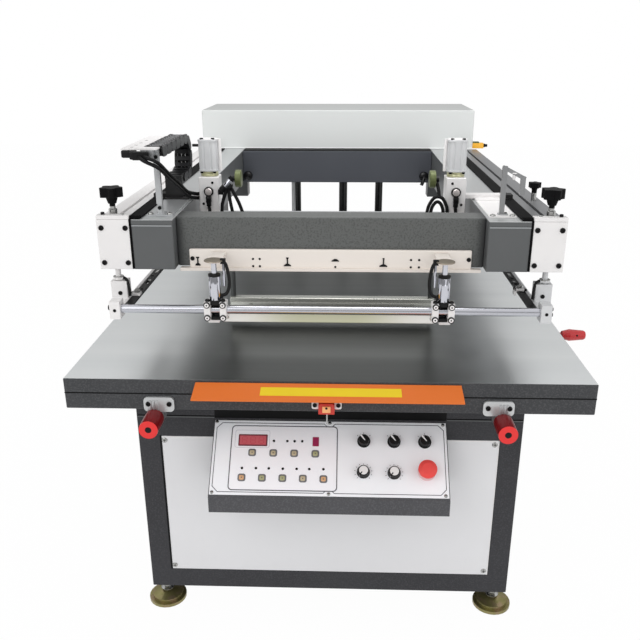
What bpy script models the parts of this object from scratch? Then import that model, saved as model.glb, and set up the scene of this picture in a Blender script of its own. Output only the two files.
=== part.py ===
"""Flatbed screen printing machine, built as separate named solids. Metres, +Z up, front toward -Y."""
import math

import bmesh
import bpy
from mathutils import Matrix, Vector

GAP = 0.0003             # clearance between touching pieces
EDGE = 0.0015            # small rounding on plates and bars
SMOOTH_ANGLE = math.radians(32)

# Bed: top plate and the steel frame under it
TABLE_H = 0.662          # floor to the top of the bed
TABLE_W = 1.100
TABLE_D = 1.250
TABLE_T = 0.032
SUB_T = 0.036

# Head pivot, which sets the depth of the whole machine
PIVOT_Y = 1.450
PIVOT_H = 0.150          # pivot above the bed
PIVOT_R = 0.012
PIVOT_OVER = 0.100       # bed frame behind the pivot

# Cabinet
CAB_W = 0.864
CAB_Y0 = 0.095
CAB_BACK_IN = 0.030      # cabinet back ahead of the frame's back edge
CAB_Z0 = 0.063           # underside of the cabinet above the floor
POST_W = 0.049
RAIL_TOP = 0.114
RAIL_BOTTOM = 0.052
PANEL_T = 0.004
POCKET = 0.003

# Levelling feet
FOOT_R = 0.046
FOOT_PAD = 0.008
FOOT_DISC_R = 0.038
FOOT_STEM_R = 0.008
FOOT_NUT_R = 0.014
FOOT_NUT_H = 0.012
FOOT_INSET = 0.040

# Control box, its panel tilted back
BOX_W = 0.516
BOX_X = 0.003
BOX_DROP = 0.135         # top edge of the box below the bed
BOX_FRONT_Y = -0.038
BOX_FALL = 0.122         # height that the panel falls over its depth
BOX_LIP = 0.037
FACE_T = 0.003
FACE_SIDE = 0.002
FACE_END = 0.006
SELECTORS = ((0.078, 0.039), (0.144, 0.039), (0.211, 0.039))
DIALS = ((0.077, -0.030), (0.143, -0.031))
STOP = (0.213, -0.028)
DIAL_R = 0.0145
SHAFT_R = 0.0055
SHAFT_IN = 0.015
STOP_R = 0.020
STOP_OUT = 0.034
STOP_IN = 0.022

# Safety strip with its switch
STRIP_W = 0.546
STRIP_OUT = 0.058
STRIP_DROP = 0.013
STRIP_T = 0.003
STRIP_BELOW = 0.012
SWITCH_X = -0.002
SWITCH_W = 0.026
SWITCH_EARS = 0.050
SWITCH_OUT = 0.026

# Adjusting knobs with their brackets
KNOB_R = 0.0195
KNOB_L = 0.057
KNOB_X = 0.3625
KNOB_BELOW = 0.084       # knob axis below the top of the bed
KNOB_BACK_Y = -0.0065
STEM_R = 0.006
BRACKET_IN = 0.319
BRACKET_OUT = 0.384
BRACKET_T = 0.006
BEARING_W = 0.036
BEARING_D = 0.040
SIDE_KNOB_Y = 0.330
SIDE_REACH = 0.068       # side knob beyond the bed
SIDE_KNOB_L = 0.056

# Print head
HEAD_H0 = 0.197          # underside of the head above the bed
HEAD_H = 0.107
HEAD_Y0 = 0.135
BEAM_IN = 0.329          # inner face of the side beams from the middle
BEAM_W = 0.089
BEAM_AFTER = 0.190       # beams behind the pivot
RAIL_OUT = 0.490         # outer face of the slotted rails from the middle
SLOT_W = 0.008
SLOT_DEEP = 0.012
SLOT_ROOM = 0.016        # width of the slots inside the rail
SIDE_SLOTS = (0.022, 0.0535, 0.085)
TOP_SLOT_X = 0.4525
PLATE_T = 0.010
BELT_IN = 0.398
BELT_OUT = 0.426
BELT_T = 0.003
FRONT_Y0 = 0.168
BEAM_T = 0.060           # thickness of the front and rear beams
PLATE_HALF = 0.302
PLATE_LOW = 0.004
PLATE_UP = 0.039
LEDGE = 0.006
HOOD_W = 0.952
HOOD_BEFORE = 0.118      # hood front ahead of the pivot
HOOD_D = 0.320
HOOD_H = 0.132

# Star knobs on the rails
STAR_X = 0.462
STAR_Y = 0.170
STAR_R = 0.025
STAR_T = 0.020
STAR_UP = 0.052          # middle of the grip above the rail
STAR_LOBES = 5
REAR_STAR = (0.472, 0.372, 0.015, 0.012, 0.036)   # x, y, radius, thickness, height above the rail

# Frame arms with the rod between them
ARM_IN = 0.437
ARM_T = 0.008
ARM_H0 = 0.108
ARM_TALL = 0.020
ARM_END = 0.400
SLOT_BAR_W = 0.016
SLOT_BAR_T = 0.006
SLOT_BAR_Y0 = 0.108
ARM_HOLES = (0.216, 0.322)
ARM_SLOT = (0.255, 0.285)
HANGER_Y = 0.163
ROD_R = 0.009
ROD_Y = 0.083
ROD_H = 0.126            # rod above the bed
ROD_HALF = 0.445
ROD_BLOCK = 0.019        # half height of the blocks that hold the rod

# Lifts on the rod
CLAMP_X = 0.237
CLAMP_W = 0.014
CLAMP_STEP = 0.0165      # each half clamp from the middle of the lift
CLAMP_HALF_H = 0.0205
CLAMP_D = 0.030
LIFT_R = 0.0115
LIFT_L = 0.050
LIFT_ROD_R = 0.005
LIFT_TOP = 0.105         # bracket above the rod
BAR_H = 0.0225
BAR_T = 0.006
BAR_LOW = 0.0335         # underside of the bar below the rod's axis

# Squeegee carriage
CAR_Y = 0.380
CAR_X = 0.288
CAR_H0 = 0.208
CAR_H = 0.060
CAR_DEEP = 0.070
CAR_END = 0.3105
SHOE_IN = 0.335          # sliding plates on the beams
SHOE_OUT = 0.392
SHOE_Y0 = 0.172
SHOE_T = 0.003
BLOCK_W = 0.046
BLOCK_D = 0.050
WING_FRONT = 0.005       # wing ahead of the cylinder axis
BLOCK_TOP = 0.358        # cylinder block above the bed
RING_R = 0.019
RING_T = 0.012
CYL_R = 0.022
CYL_TOP = 0.443
TUBE_R = 0.0045
RUNNER_X = 0.245
RUNNER_R = 0.007
SQUEEGEE_HALF = 0.2525
SQUEEGEE_H = 0.026
SQUEEGEE_T = 0.024
BLADE_T = 0.008
BLADE_H0 = 0.022
BLADE_SHOWN = 0.012       # blade below its holder

# Air fittings: elbow hose, gauge and its hoses
ELBOW_H = 0.337
HOSE_R = 0.004
GAUGE_X = 0.214
GAUGE_R = 0.0195
GAUGE_T = 0.012
GAUGE_H = 0.358
MANIFOLD_T = 0.014

# Energy chain on its mast
CHAIN_X = -0.371
CHAIN_W = 0.040
LINK_PITCH = 0.022
LINK_R = 0.0108          # half height of a link
LINK_PLATE = 0.003
BEND_LINKS = 6
UPPER_LINKS = 11
LOWER_LINKS = 3
CHAIN_TOP = 0.446
CHAIN_BACK = 0.500       # rear of the bend
MAST_X0 = -0.3665
MAST_X1 = -0.3575
MAST_D = 0.015
TRAY_OUT = -0.431
TRAY_Y1 = 0.400
TRAY_T = 0.003

# Sensor bracket on the right
SENSOR_X = 0.363
SENSOR_Y = 0.190
SENSOR_W = 0.010
SENSOR_T = 0.008
SENSOR_TOP = 0.409
SENSOR_REACH = 0.044
SENSOR_FALL = math.radians(27)

# Posts behind the head
POSTS = (-0.148, 0.022, 0.156)
POST_R = 0.011
POST_TOP = 0.183
COLUMN_IN = 0.425
COLUMN_OUT = 0.485
COLUMN_D = 0.120

# Heights and places that follow from the sizes above
SUB_D = PIVOT_Y + PIVOT_OVER
SUB_TOP = TABLE_H - TABLE_T - GAP
SUB_Z0 = SUB_TOP - SUB_T
CAB_Y1 = SUB_D - CAB_BACK_IN
CAB_TOP = SUB_Z0 - GAP
CAB_HALF = CAB_W / 2
HALF = TABLE_W / 2
HEAD_Z0 = TABLE_H + HEAD_H0
HEAD_TOP = HEAD_Z0 + HEAD_H
PIVOT_Z = TABLE_H + PIVOT_H
BEAM_END = PIVOT_Y + BEAM_AFTER
HOOD_Y0 = PIVOT_Y - HOOD_BEFORE
RAIL_END = HOOD_Y0 - 0.002
REAR_Y0 = RAIL_END - BEAM_T - 0.003
RAIL_IN = BEAM_IN + BEAM_W + GAP
BELT_TOP = HEAD_TOP + BELT_T
SHOE_TOP = HEAD_TOP + GAP + SHOE_T
ROD_Z = TABLE_H + ROD_H
AXIS_Z = TABLE_H - KNOB_BELOW
SIDE_Z = TABLE_H - TABLE_T / 2
CAR_Z0 = TABLE_H + CAR_H0
CAR_TOP = CAR_Z0 + CAR_H
SHOE_Y1 = CAR_Y + CAR_DEEP / 2
BEND_R = LINK_PITCH / (2 * math.sin(math.pi / (2 * BEND_LINKS)))
BEND_Y = CHAIN_BACK - LINK_R - BEND_R
BEND_Z = TABLE_H + CHAIN_TOP - LINK_R - BEND_R
MIDDLE = Vector((SIDE_REACH / 2, (HOOD_Y0 + HOOD_D + KNOB_BACK_Y - KNOB_L) / 2, 0.0))

FINISHES = {
    "hammertone": ((0.075, 0.078, 0.085), 0.45, 0.3),
    "brushed_steel": ((0.42, 0.43, 0.43), 0.35, 0.9),
    "light_panel": ((0.70, 0.72, 0.73), 0.45, 0.0),
    "dark_frame": ((0.060, 0.062, 0.068), 0.45, 0.2),
    "zinc": ((0.62, 0.55, 0.32), 0.35, 0.9),
    "chrome": ((0.75, 0.75, 0.77), 0.12, 1.0),
    "aluminium": ((0.72, 0.72, 0.72), 0.35, 0.9),
    "white_aluminium": ((0.82, 0.82, 0.80), 0.40, 0.5),
    "black_plastic": ((0.015, 0.015, 0.017), 0.45, 0.0),
    "orange_paint": ((0.85, 0.22, 0.03), 0.40, 0.0),
    "red_plastic": ((0.65, 0.03, 0.03), 0.35, 0.0),
    "hood_grey": ((0.66, 0.67, 0.68), 0.45, 0.0),
    "panel_white": ((0.78, 0.80, 0.84), 0.40, 0.0),
}

for old in list(bpy.data.objects):
    bpy.data.objects.remove(old, do_unlink=True)

parts = bpy.data.collections.new("screen_printer")
cutters = bpy.data.collections.new("cutters")
bpy.context.scene.collection.children.link(parts)
bpy.context.scene.collection.children.link(cutters)


def material(node, finish):
    """A material of its own for each node."""
    colour, rough, metal = FINISHES[finish]
    mat = bpy.data.materials.new(node + "_" + finish)
    mat.use_nodes = True
    shader = mat.node_tree.nodes["Principled BSDF"]
    shader.inputs["Base Color"].default_value = (*colour, 1.0)
    shader.inputs["Roughness"].default_value = rough
    shader.inputs["Metallic"].default_value = metal
    return mat


def add(name, mesh, finish=None):
    """Put a mesh in the part, or among the cutters where it has no finish."""
    obj = bpy.data.objects.new(name, mesh)
    if finish:
        parts.objects.link(obj)
        mesh.materials.append(material(name, finish))
    else:
        cutters.objects.link(obj)
        obj.hide_render = True
        obj.display_type = "WIRE"
    return obj


def mesh_from(bm, name):
    mesh = bpy.data.meshes.new(name)
    bm.to_mesh(mesh)
    bm.free()
    return mesh


def box(name, x, y, z, finish=None, bevel=0.0):
    """A block between two values on each axis."""
    bm = bmesh.new()
    bmesh.ops.create_cube(bm, size=1.0)
    size = Vector((x[1] - x[0], y[1] - y[0], z[1] - z[0]))
    bmesh.ops.scale(bm, vec=size, verts=bm.verts)
    obj = add(name, mesh_from(bm, name), finish)
    obj.location = Vector((x[0] + x[1], y[0] + y[1], z[0] + z[1])) / 2
    if bevel:
        edges = obj.modifiers.new("edges", "BEVEL")
        edges.width = bevel
        edges.segments = 1
        edges.limit_method = "ANGLE"
    return obj


def rod(name, centre, radius, length, axis="Z", finish=None, sides=24, radius2=None):
    """A round bar or cone about an axis through its centre."""
    bm = bmesh.new()
    end = radius if radius2 is None else radius2
    bmesh.ops.create_cone(bm, cap_ends=True, segments=sides, radius1=radius, radius2=end, depth=length)
    turn = {"X": Matrix.Rotation(math.pi / 2, 4, "Y"), "Y": Matrix.Rotation(-math.pi / 2, 4, "X")}
    if axis in turn:
        bmesh.ops.transform(bm, matrix=turn[axis], verts=bm.verts)
    obj = add(name, mesh_from(bm, name), finish)
    obj.location = centre
    return obj


def turned(name, profile, centre, finish=None, steps=24):
    """A turned part: the profile runs from top to bottom on its outer side."""
    mesh = bpy.data.meshes.new(name)
    points = [(r, 0.0, z) for r, z in profile]
    mesh.from_pydata(points, [(i, i + 1) for i in range(len(points) - 1)], [])
    obj = add(name, mesh, finish)
    obj.location = centre
    screw = obj.modifiers.new("turn", "SCREW")
    screw.steps = steps
    screw.render_steps = steps
    screw.use_merge_vertices = True
    screw.merge_threshold = 0.00005
    return obj


def mesh_of_curve(name, curve):
    """The closed mesh of a curve, with its caps welded."""
    holder = bpy.data.objects.new(name + "_curve", curve)
    bpy.context.scene.collection.objects.link(holder)
    bpy.context.view_layer.update()
    mesh = bpy.data.meshes.new_from_object(holder)
    bpy.data.objects.remove(holder, do_unlink=True)
    bm = bmesh.new()
    bm.from_mesh(mesh)
    bmesh.ops.remove_doubles(bm, verts=bm.verts, dist=0.00002)
    return bm


def flat_curve(name, outlines, thick):
    """Filled outlines in a plane, given a thickness."""
    curve = bpy.data.curves.new(name, "CURVE")
    curve.dimensions = "2D"
    curve.fill_mode = "BOTH"
    curve.extrude = thick / 2
    for outline in outlines:
        spline = curve.splines.new("POLY")
        spline.points.add(len(outline) - 1)
        for point, (u, v) in zip(spline.points, outline):
            point.co = (u, v, 0.0, 1.0)
        spline.use_cyclic_u = True
    return curve


def extruded(name, outlines, x, finish=None):
    """Bars along X whose ends are the outlines of (y, z) points."""
    bm = mesh_of_curve(name, flat_curve(name, outlines, x[1] - x[0]))
    stand = Matrix(((0, 0, 1, 0), (1, 0, 0, 0), (0, 1, 0, 0), (0, 0, 0, 1)))
    bmesh.ops.transform(bm, matrix=stand, verts=bm.verts)
    obj = add(name, mesh_from(bm, name), finish)
    obj.location = ((x[0] + x[1]) / 2, 0.0, 0.0)
    return obj


def smooth_route(route, steps=5):
    """Points on a smooth curve through the route's own points."""
    ends = [route[0] * 2 - route[1], *route, route[-1] * 2 - route[-2]]
    points = []
    for a, b, c, d in zip(ends, ends[1:], ends[2:], ends[3:]):
        for i in range(steps):
            t = i / steps
            points.append((b * 2 + (c - a) * t + (a * 2 - b * 5 + c * 4 - d) * t * t
                           + (b * 3 - a - c * 3 + d) * t ** 3) / 2)
    return [*points, route[-1]]


def tube(name, route, radius, finish=None, steps=5):
    """A round tube along a smooth route."""
    curve = bpy.data.curves.new(name, "CURVE")
    curve.dimensions = "3D"
    curve.bevel_depth = radius
    curve.bevel_resolution = 2
    curve.use_fill_caps = True
    points = smooth_route([Vector(p) for p in route], steps)
    spline = curve.splines.new("POLY")
    spline.points.add(len(points) - 1)
    for point, place in zip(spline.points, points):
        point.co = (*place, 1.0)
    return add(name, mesh_from(mesh_of_curve(name, curve), name), finish)


def combine(obj, other, operation):
    step = obj.modifiers.new(operation.lower(), "BOOLEAN")
    step.operation = operation
    step.solver = "EXACT"
    step.object = other


def cut(obj, *others):
    for other in others:
        combine(obj, other, "DIFFERENCE")


def join(obj, *others):
    for other in others:
        combine(obj, other, "UNION")


def both_sides():
    return (("l", -1), ("r", 1))


def span(side, inner, outer):
    """X limits of a piece on one side of the middle."""
    return (inner, outer) if side > 0 else (-outer, -inner)


def around(middle, size):
    """Limits of a size centred on a value."""
    return (middle - size / 2, middle + size / 2)


# Bed
box("table_top", (-HALF, HALF), (0, TABLE_D), (TABLE_H - TABLE_T, TABLE_H), "brushed_steel", EDGE)
box("table_frame", (-HALF, HALF), (0, SUB_D), (SUB_Z0, SUB_TOP), "hammertone", EDGE)

# Cabinet with pockets for its four panels
cabinet = box("cabinet", (-CAB_HALF, CAB_HALF), (CAB_Y0, CAB_Y1), (CAB_Z0, CAB_TOP), "dark_frame", EDGE)
panel_z = (CAB_Z0 + RAIL_BOTTOM, CAB_TOP - RAIL_TOP)
panel_x = (-CAB_HALF + POST_W, CAB_HALF - POST_W)
side_y = (CAB_Y0 + POST_W, CAB_Y1 - POST_W)
cut(
    cabinet,
    box("front_pocket", (panel_x[0] - GAP, panel_x[1] + GAP), (0.0, CAB_Y0 + PANEL_T + GAP),
        (panel_z[0] - GAP, panel_z[1] + GAP)),
    box("back_pocket", panel_x, (CAB_Y1 - POCKET, CAB_Y1 + POST_W), panel_z),
    box("left_pocket", (-CAB_HALF - POST_W, -CAB_HALF + POCKET), side_y, panel_z),
    box("right_pocket", (CAB_HALF - POCKET, CAB_HALF + POST_W), side_y, panel_z),
)
box("front_panel", panel_x, (CAB_Y0, CAB_Y0 + PANEL_T), panel_z, "light_panel", EDGE / 3)

# Levelling feet, their stems up in the cabinet
stem_top = CAB_Z0 + CAB_Z0 / 2
foot_profile = (
    (0.0, stem_top), (FOOT_STEM_R, stem_top), (FOOT_STEM_R, CAB_Z0 - GAP), (FOOT_NUT_R, CAB_Z0 - GAP),
    (FOOT_NUT_R, CAB_Z0 - FOOT_NUT_H), (FOOT_STEM_R, CAB_Z0 - FOOT_NUT_H), (FOOT_STEM_R, FOOT_PAD * 3),
    (FOOT_DISC_R, FOOT_PAD * 2), (FOOT_DISC_R, FOOT_PAD), (FOOT_R, FOOT_PAD), (FOOT_R, 0.0), (0.0, 0.0),
)
for end, y in (("f", CAB_Y0 + FOOT_INSET), ("b", CAB_Y1 - FOOT_INSET)):
    for letter, side in both_sides():
        x = side * (CAB_HALF - POST_W / 2)
        turned(f"foot_{end}{letter}", foot_profile, (x, y, 0.0), "zinc")
        drill = rod(f"foot_hole_{end}{letter}", (x, y, CAB_Z0), FOOT_STEM_R + GAP, CAB_Z0 + 2 * GAP)
        cut(cabinet, drill)

# Columns that carry the head's pivots, with a foot plate and a rib
for letter, side in both_sides():
    column = box("column_" + letter, span(side, COLUMN_IN, COLUMN_OUT), around(PIVOT_Y, COLUMN_D),
                 (SUB_TOP + GAP, HEAD_Z0 - PIVOT_R), "hammertone", EDGE)
    join(column, box("column_foot_" + letter, span(side, COLUMN_IN - PIVOT_R, COLUMN_OUT + PIVOT_R),
                     around(PIVOT_Y, COLUMN_D + 2 * PIVOT_R), (SUB_TOP + GAP, SUB_TOP + PIVOT_R)))
    middle = side * (COLUMN_IN + COLUMN_OUT) / 2
    cut(column, rod("column_hole_" + letter, (middle, PIVOT_Y, PIVOT_Z), PIVOT_R + GAP, COLUMN_D, "X", None, 32))

# Posts behind the head, on one bar
posts = box("rear_posts", (POSTS[0] - POST_R, POSTS[-1] + POST_R), around(PIVOT_Y, 2 * POST_R),
            (SUB_TOP + GAP, SUB_TOP + POST_R), "black_plastic")
for index, x in enumerate(POSTS):
    height = TABLE_H + POST_TOP - SUB_TOP - GAP
    join(posts, rod(f"post_{index}", (x, PIVOT_Y, SUB_TOP + GAP + height / 2), POST_R * 0.9, height))

# Control box
edge_y = CAB_Y0 - GAP
box_top = TABLE_H - BOX_DROP
box_edge = box_top - BOX_FALL
box_outline = ((edge_y, box_top), (BOX_FRONT_Y, box_edge), (BOX_FRONT_Y, box_edge - BOX_LIP),
               (edge_y, box_edge - BOX_LIP))
housing = extruded("control_box", [box_outline], around(BOX_X, BOX_W), "dark_frame")
slope = Vector((0.0, edge_y - BOX_FRONT_Y, BOX_FALL))
face_l = slope.length
slope.normalize()
outward = Vector((1.0, 0.0, 0.0)).cross(slope)
tilt = math.atan2(slope.z, slope.y)
face_mid = Vector((BOX_X, (edge_y + BOX_FRONT_Y) / 2, (box_top + box_edge) / 2))


def on_face(obj, x, up, out):
    """Set a piece on the tilted face: x from the middle, up the slope, out from it."""
    obj.rotation_euler = (tilt, 0.0, 0.0)
    obj.location = Vector((x, face_mid.y, face_mid.z)) + slope * up + outward * out


face = box("control_face", around(0.0, BOX_W - 2 * FACE_SIDE), around(0.0, face_l - 2 * FACE_END),
           around(0.0, FACE_T), "panel_white", EDGE / 3)
on_face(face, BOX_X, 0.0, GAP + FACE_T / 2)
seat = FACE_T + 2 * GAP
selector_profile = ((0.0, 0.020), (0.011, 0.020), (0.012, 0.006), (DIAL_R, 0.0055), (DIAL_R, seat),
                    (SHAFT_R, seat), (SHAFT_R, -SHAFT_IN), (0.0, -SHAFT_IN))
for index, (x, up) in enumerate(SELECTORS):
    on_face(turned(f"selector_{index + 1}", selector_profile, (0, 0, 0), "black_plastic", 16), x, up, 0.0)
dial_profile = ((0.0, 0.018), (0.009, 0.018), (0.010, 0.005), (DIAL_R, 0.0045), (DIAL_R, seat),
                (SHAFT_R, seat), (SHAFT_R, -SHAFT_IN), (0.0, -SHAFT_IN))
for index, (x, up) in enumerate(DIALS):
    on_face(turned(f"dial_{index + 1}", dial_profile, (0, 0, 0), "black_plastic", 16), x, up, 0.0)
stop_profile = ((0.0, STOP_OUT), (0.012, STOP_OUT - 0.001), (STOP_R, 0.029), (STOP_R, 0.023), (0.012, 0.020),
                (SHAFT_R, 0.020), (SHAFT_R, -STOP_IN), (0.0, -STOP_IN))
on_face(turned("stop_button", stop_profile, (0, 0, 0), "red_plastic"), STOP[0], STOP[1], 0.0)
for index, (x, up) in enumerate([*SELECTORS, *DIALS, STOP]):
    deep = STOP_IN + DIAL_R / 2 if (x, up) == STOP else SHAFT_IN + FACE_T
    drill = rod(f"face_drill_{index}", (0, 0, 0), SHAFT_R + 2 * GAP, 4 * FACE_T, "Z", None, 16)
    on_face(drill, x, up, 0.0)
    well = rod(f"box_drill_{index}", (0, 0, 0), SHAFT_R + 2 * GAP, deep + FACE_T, "Z", None, 16)
    on_face(well, x, up, (FACE_T - deep) / 2)
    cut(face, drill)
    cut(housing, well)

# Safety strip in front of the bed, with its switch
strip_l = math.hypot(STRIP_OUT, STRIP_DROP)
strip_turn = math.atan2(STRIP_DROP, STRIP_OUT)
strip = box("safety_strip", (-STRIP_W / 2, STRIP_W / 2), (-strip_l, 0.0), (-STRIP_T, 0.0), "orange_paint", EDGE / 3)
strip.rotation_euler = (strip_turn, 0.0, 0.0)
strip.location = (0.0, -STRIP_T * math.sin(strip_turn) - GAP - STRIP_OUT / 2, TABLE_H - STRIP_BELOW)
switch_z = (SUB_Z0 + 0.008, SUB_TOP - 0.006)
switch = box("strip_switch", around(SWITCH_X, SWITCH_W), (-SWITCH_OUT, -GAP), switch_z, "red_plastic", EDGE / 2)
join(switch, box("switch_ears", around(SWITCH_X, SWITCH_EARS), (-BRACKET_T, -GAP), switch_z))

# Front adjusting knobs, each in a bracket: a rounded plate on the frame and a bearing under it
for letter, side in both_sides():
    plate_z = (SUB_Z0 - BRACKET_T, SUB_TOP - BRACKET_T / 2)
    bracket = box("bracket_" + letter, span(side, BRACKET_IN, BRACKET_OUT), (-BRACKET_T, -GAP), plate_z, "aluminium",
                  EDGE)
    bearing = box("bearing_" + letter, around(side * KNOB_X, BEARING_W), (-BRACKET_T * 0.7, BEARING_D),
                  (AXIS_Z - BEARING_W / 2, SUB_Z0 - GAP))
    join(bracket, bearing)
    cut(bracket, rod("bearing_hole_" + letter, (side * KNOB_X, 0.0, AXIS_Z), STEM_R + GAP, 4 * BEARING_D, "Y"))
    knob = rod("adjust_knob_" + letter, (side * KNOB_X, KNOB_BACK_Y - KNOB_L / 2, AXIS_Z), KNOB_R, KNOB_L, "Y",
               "red_plastic", 32)
    stem_l = BEARING_D - KNOB_BACK_Y
    join(knob, rod("adjust_stem_" + letter, (side * KNOB_X, BEARING_D / 2 - stem_l / 4, AXIS_Z), STEM_R,
                   stem_l, "Y"))
    socket = rod("adjust_socket_" + letter, (side * KNOB_X, KNOB_BACK_Y - KNOB_L, AXIS_Z), STEM_R, 2 * STEM_R, "Y",
                 None, 6)
    cut(knob, socket)
side_profile = ((0.0, SIDE_REACH), (0.009, SIDE_REACH), (0.0115, SIDE_REACH - 0.004), (0.0145, 0.030),
                (0.010, SIDE_REACH - SIDE_KNOB_L), (STEM_R, SIDE_REACH - SIDE_KNOB_L), (STEM_R, -0.020), (0.0, -0.020))
knob = turned("adjust_knob_side", side_profile, (HALF, SIDE_KNOB_Y, SIDE_Z), "red_plastic")
knob.rotation_euler = (0.0, math.pi / 2, 0.0)
cut(bpy.data.objects["table_top"], rod("side_hole", (HALF, SIDE_KNOB_Y, SIDE_Z), STEM_R + GAP, 0.050, "X"))

# Print head: side beams with their pivots, slotted rails, end plates and belts
rail_room = (HEAD_Y0 + PLATE_T + GAP, RAIL_END)
for letter, side in both_sides():
    beam = box("side_beam_" + letter, span(side, BEAM_IN, BEAM_IN + BEAM_W), (HEAD_Y0, BEAM_END),
               (HEAD_Z0, HEAD_TOP), "hammertone", EDGE)
    lug = box("pivot_lug_" + letter, span(side, BEAM_IN + 0.006, COLUMN_IN - 0.013),
              around(PIVOT_Y, 5 * PIVOT_R), (PIVOT_Z - 2.5 * PIVOT_R, HEAD_Z0 + PIVOT_R))
    pin_l = COLUMN_OUT - BEAM_IN - 0.010
    pin = rod("pivot_pin_" + letter, (side * (BEAM_IN + 0.014 + pin_l / 2), PIVOT_Y, PIVOT_Z), PIVOT_R, pin_l, "X",
              None, 32)
    join(beam, lug, pin)
    rail_x = span(side, RAIL_IN, RAIL_OUT)
    box("end_plate_" + letter, rail_x, (HEAD_Y0, HEAD_Y0 + PLATE_T), (HEAD_Z0, HEAD_TOP), "white_aluminium", EDGE / 2)
    rail = box("slot_rail_" + letter, rail_x, rail_room, (HEAD_Z0, HEAD_TOP), "aluminium", EDGE / 2)
    slot_y = (0.0, PIVOT_Y)
    for index, up in enumerate(SIDE_SLOTS):
        mouth = box(f"slot_{letter}{index}", span(side, RAIL_OUT - SLOT_DEEP, RAIL_OUT + SLOT_DEEP), slot_y,
                    around(HEAD_Z0 + up, SLOT_W))
        room = box(f"slot_room_{letter}{index}", span(side, RAIL_OUT - SLOT_DEEP, RAIL_OUT - SLOT_DEEP / 2), slot_y,
                   around(HEAD_Z0 + up, SLOT_ROOM))
        cut(rail, mouth, room)
    mouth = box(f"slot_{letter}_top", around(side * TOP_SLOT_X, SLOT_W), slot_y,
                (HEAD_TOP - SLOT_DEEP, HEAD_TOP + SLOT_DEEP))
    room = box(f"slot_room_{letter}_top", around(side * TOP_SLOT_X, SLOT_ROOM), slot_y,
               (HEAD_TOP - SLOT_DEEP, HEAD_TOP - SLOT_DEEP / 2))
    cut(rail, mouth, room)
    box("belt_" + letter, span(side, BELT_IN, BELT_OUT), (HEAD_Y0 + 2 * PLATE_T, RAIL_END - PLATE_T),
        (HEAD_TOP + GAP, BELT_TOP), "black_plastic")

cross_x = (-BEAM_IN + GAP, BEAM_IN - GAP)
box("front_beam", cross_x, (FRONT_Y0, FRONT_Y0 + BEAM_T), (HEAD_Z0, HEAD_TOP), "hammertone", EDGE)
box("rear_beam", cross_x, (REAR_Y0, REAR_Y0 + BEAM_T), (HEAD_Z0, HEAD_TOP), "hammertone", EDGE)
plate_y = (FRONT_Y0 - PLATE_T, FRONT_Y0 - GAP)
plate = box("front_plate", (-PLATE_HALF, PLATE_HALF), plate_y, (HEAD_Z0 - PLATE_LOW, HEAD_Z0 + PLATE_UP),
            "white_aluminium", EDGE)
join(plate, box("plate_ledge", (BEAM_IN * -0.98, BEAM_IN * 0.98), (plate_y[0] - LEDGE, plate_y[1]),
                (HEAD_Z0 - PLATE_LOW - LEDGE / 2, HEAD_Z0 - PLATE_LOW + LEDGE / 2)))
hood_x = (-HOOD_W / 2, HOOD_W / 2)
box("hood", hood_x, (HOOD_Y0, HOOD_Y0 + HOOD_D), (HEAD_TOP + GAP, HEAD_TOP + HOOD_H), "hood_grey", 2 * EDGE)


def star_knob(name, place, radius, thick, up, rail):
    """A lobed grip on a stem that goes down into the rail."""
    outline = []
    for i in range(8 * STAR_LOBES):
        a = 2 * math.pi * i / (8 * STAR_LOBES)
        r = radius * (0.86 + 0.14 * math.cos(STAR_LOBES * a))
        outline.append((r * math.cos(a), r * math.sin(a)))
    grip = add(name, mesh_from(mesh_of_curve(name, flat_curve(name, [outline], thick)), name), "black_plastic")
    grip.location = (*place, HEAD_TOP + up)
    hub = rod(name + "_hub", (*place, HEAD_TOP + up - thick * 0.7), radius * 0.35, thick, "Z", None, 24, radius * 0.6)
    stem = rod(name + "_stem", (*place, HEAD_TOP + up / 2 - STEM_R), STEM_R, up, "Z", None, 20)
    join(grip, hub, stem)
    cut(rail, rod(name + "_hole", (*place, HEAD_TOP), STEM_R + GAP, 4 * STEM_R, "Z", None, 20))
    return grip


for letter, side in both_sides():
    star_knob("star_knob_" + letter, (side * STAR_X, STAR_Y), STAR_R, STAR_T, STAR_UP,
              bpy.data.objects["slot_rail_" + letter])
star_knob("star_knob_rear", REAR_STAR[:2], *REAR_STAR[2:], bpy.data.objects["slot_rail_r"])

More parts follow.
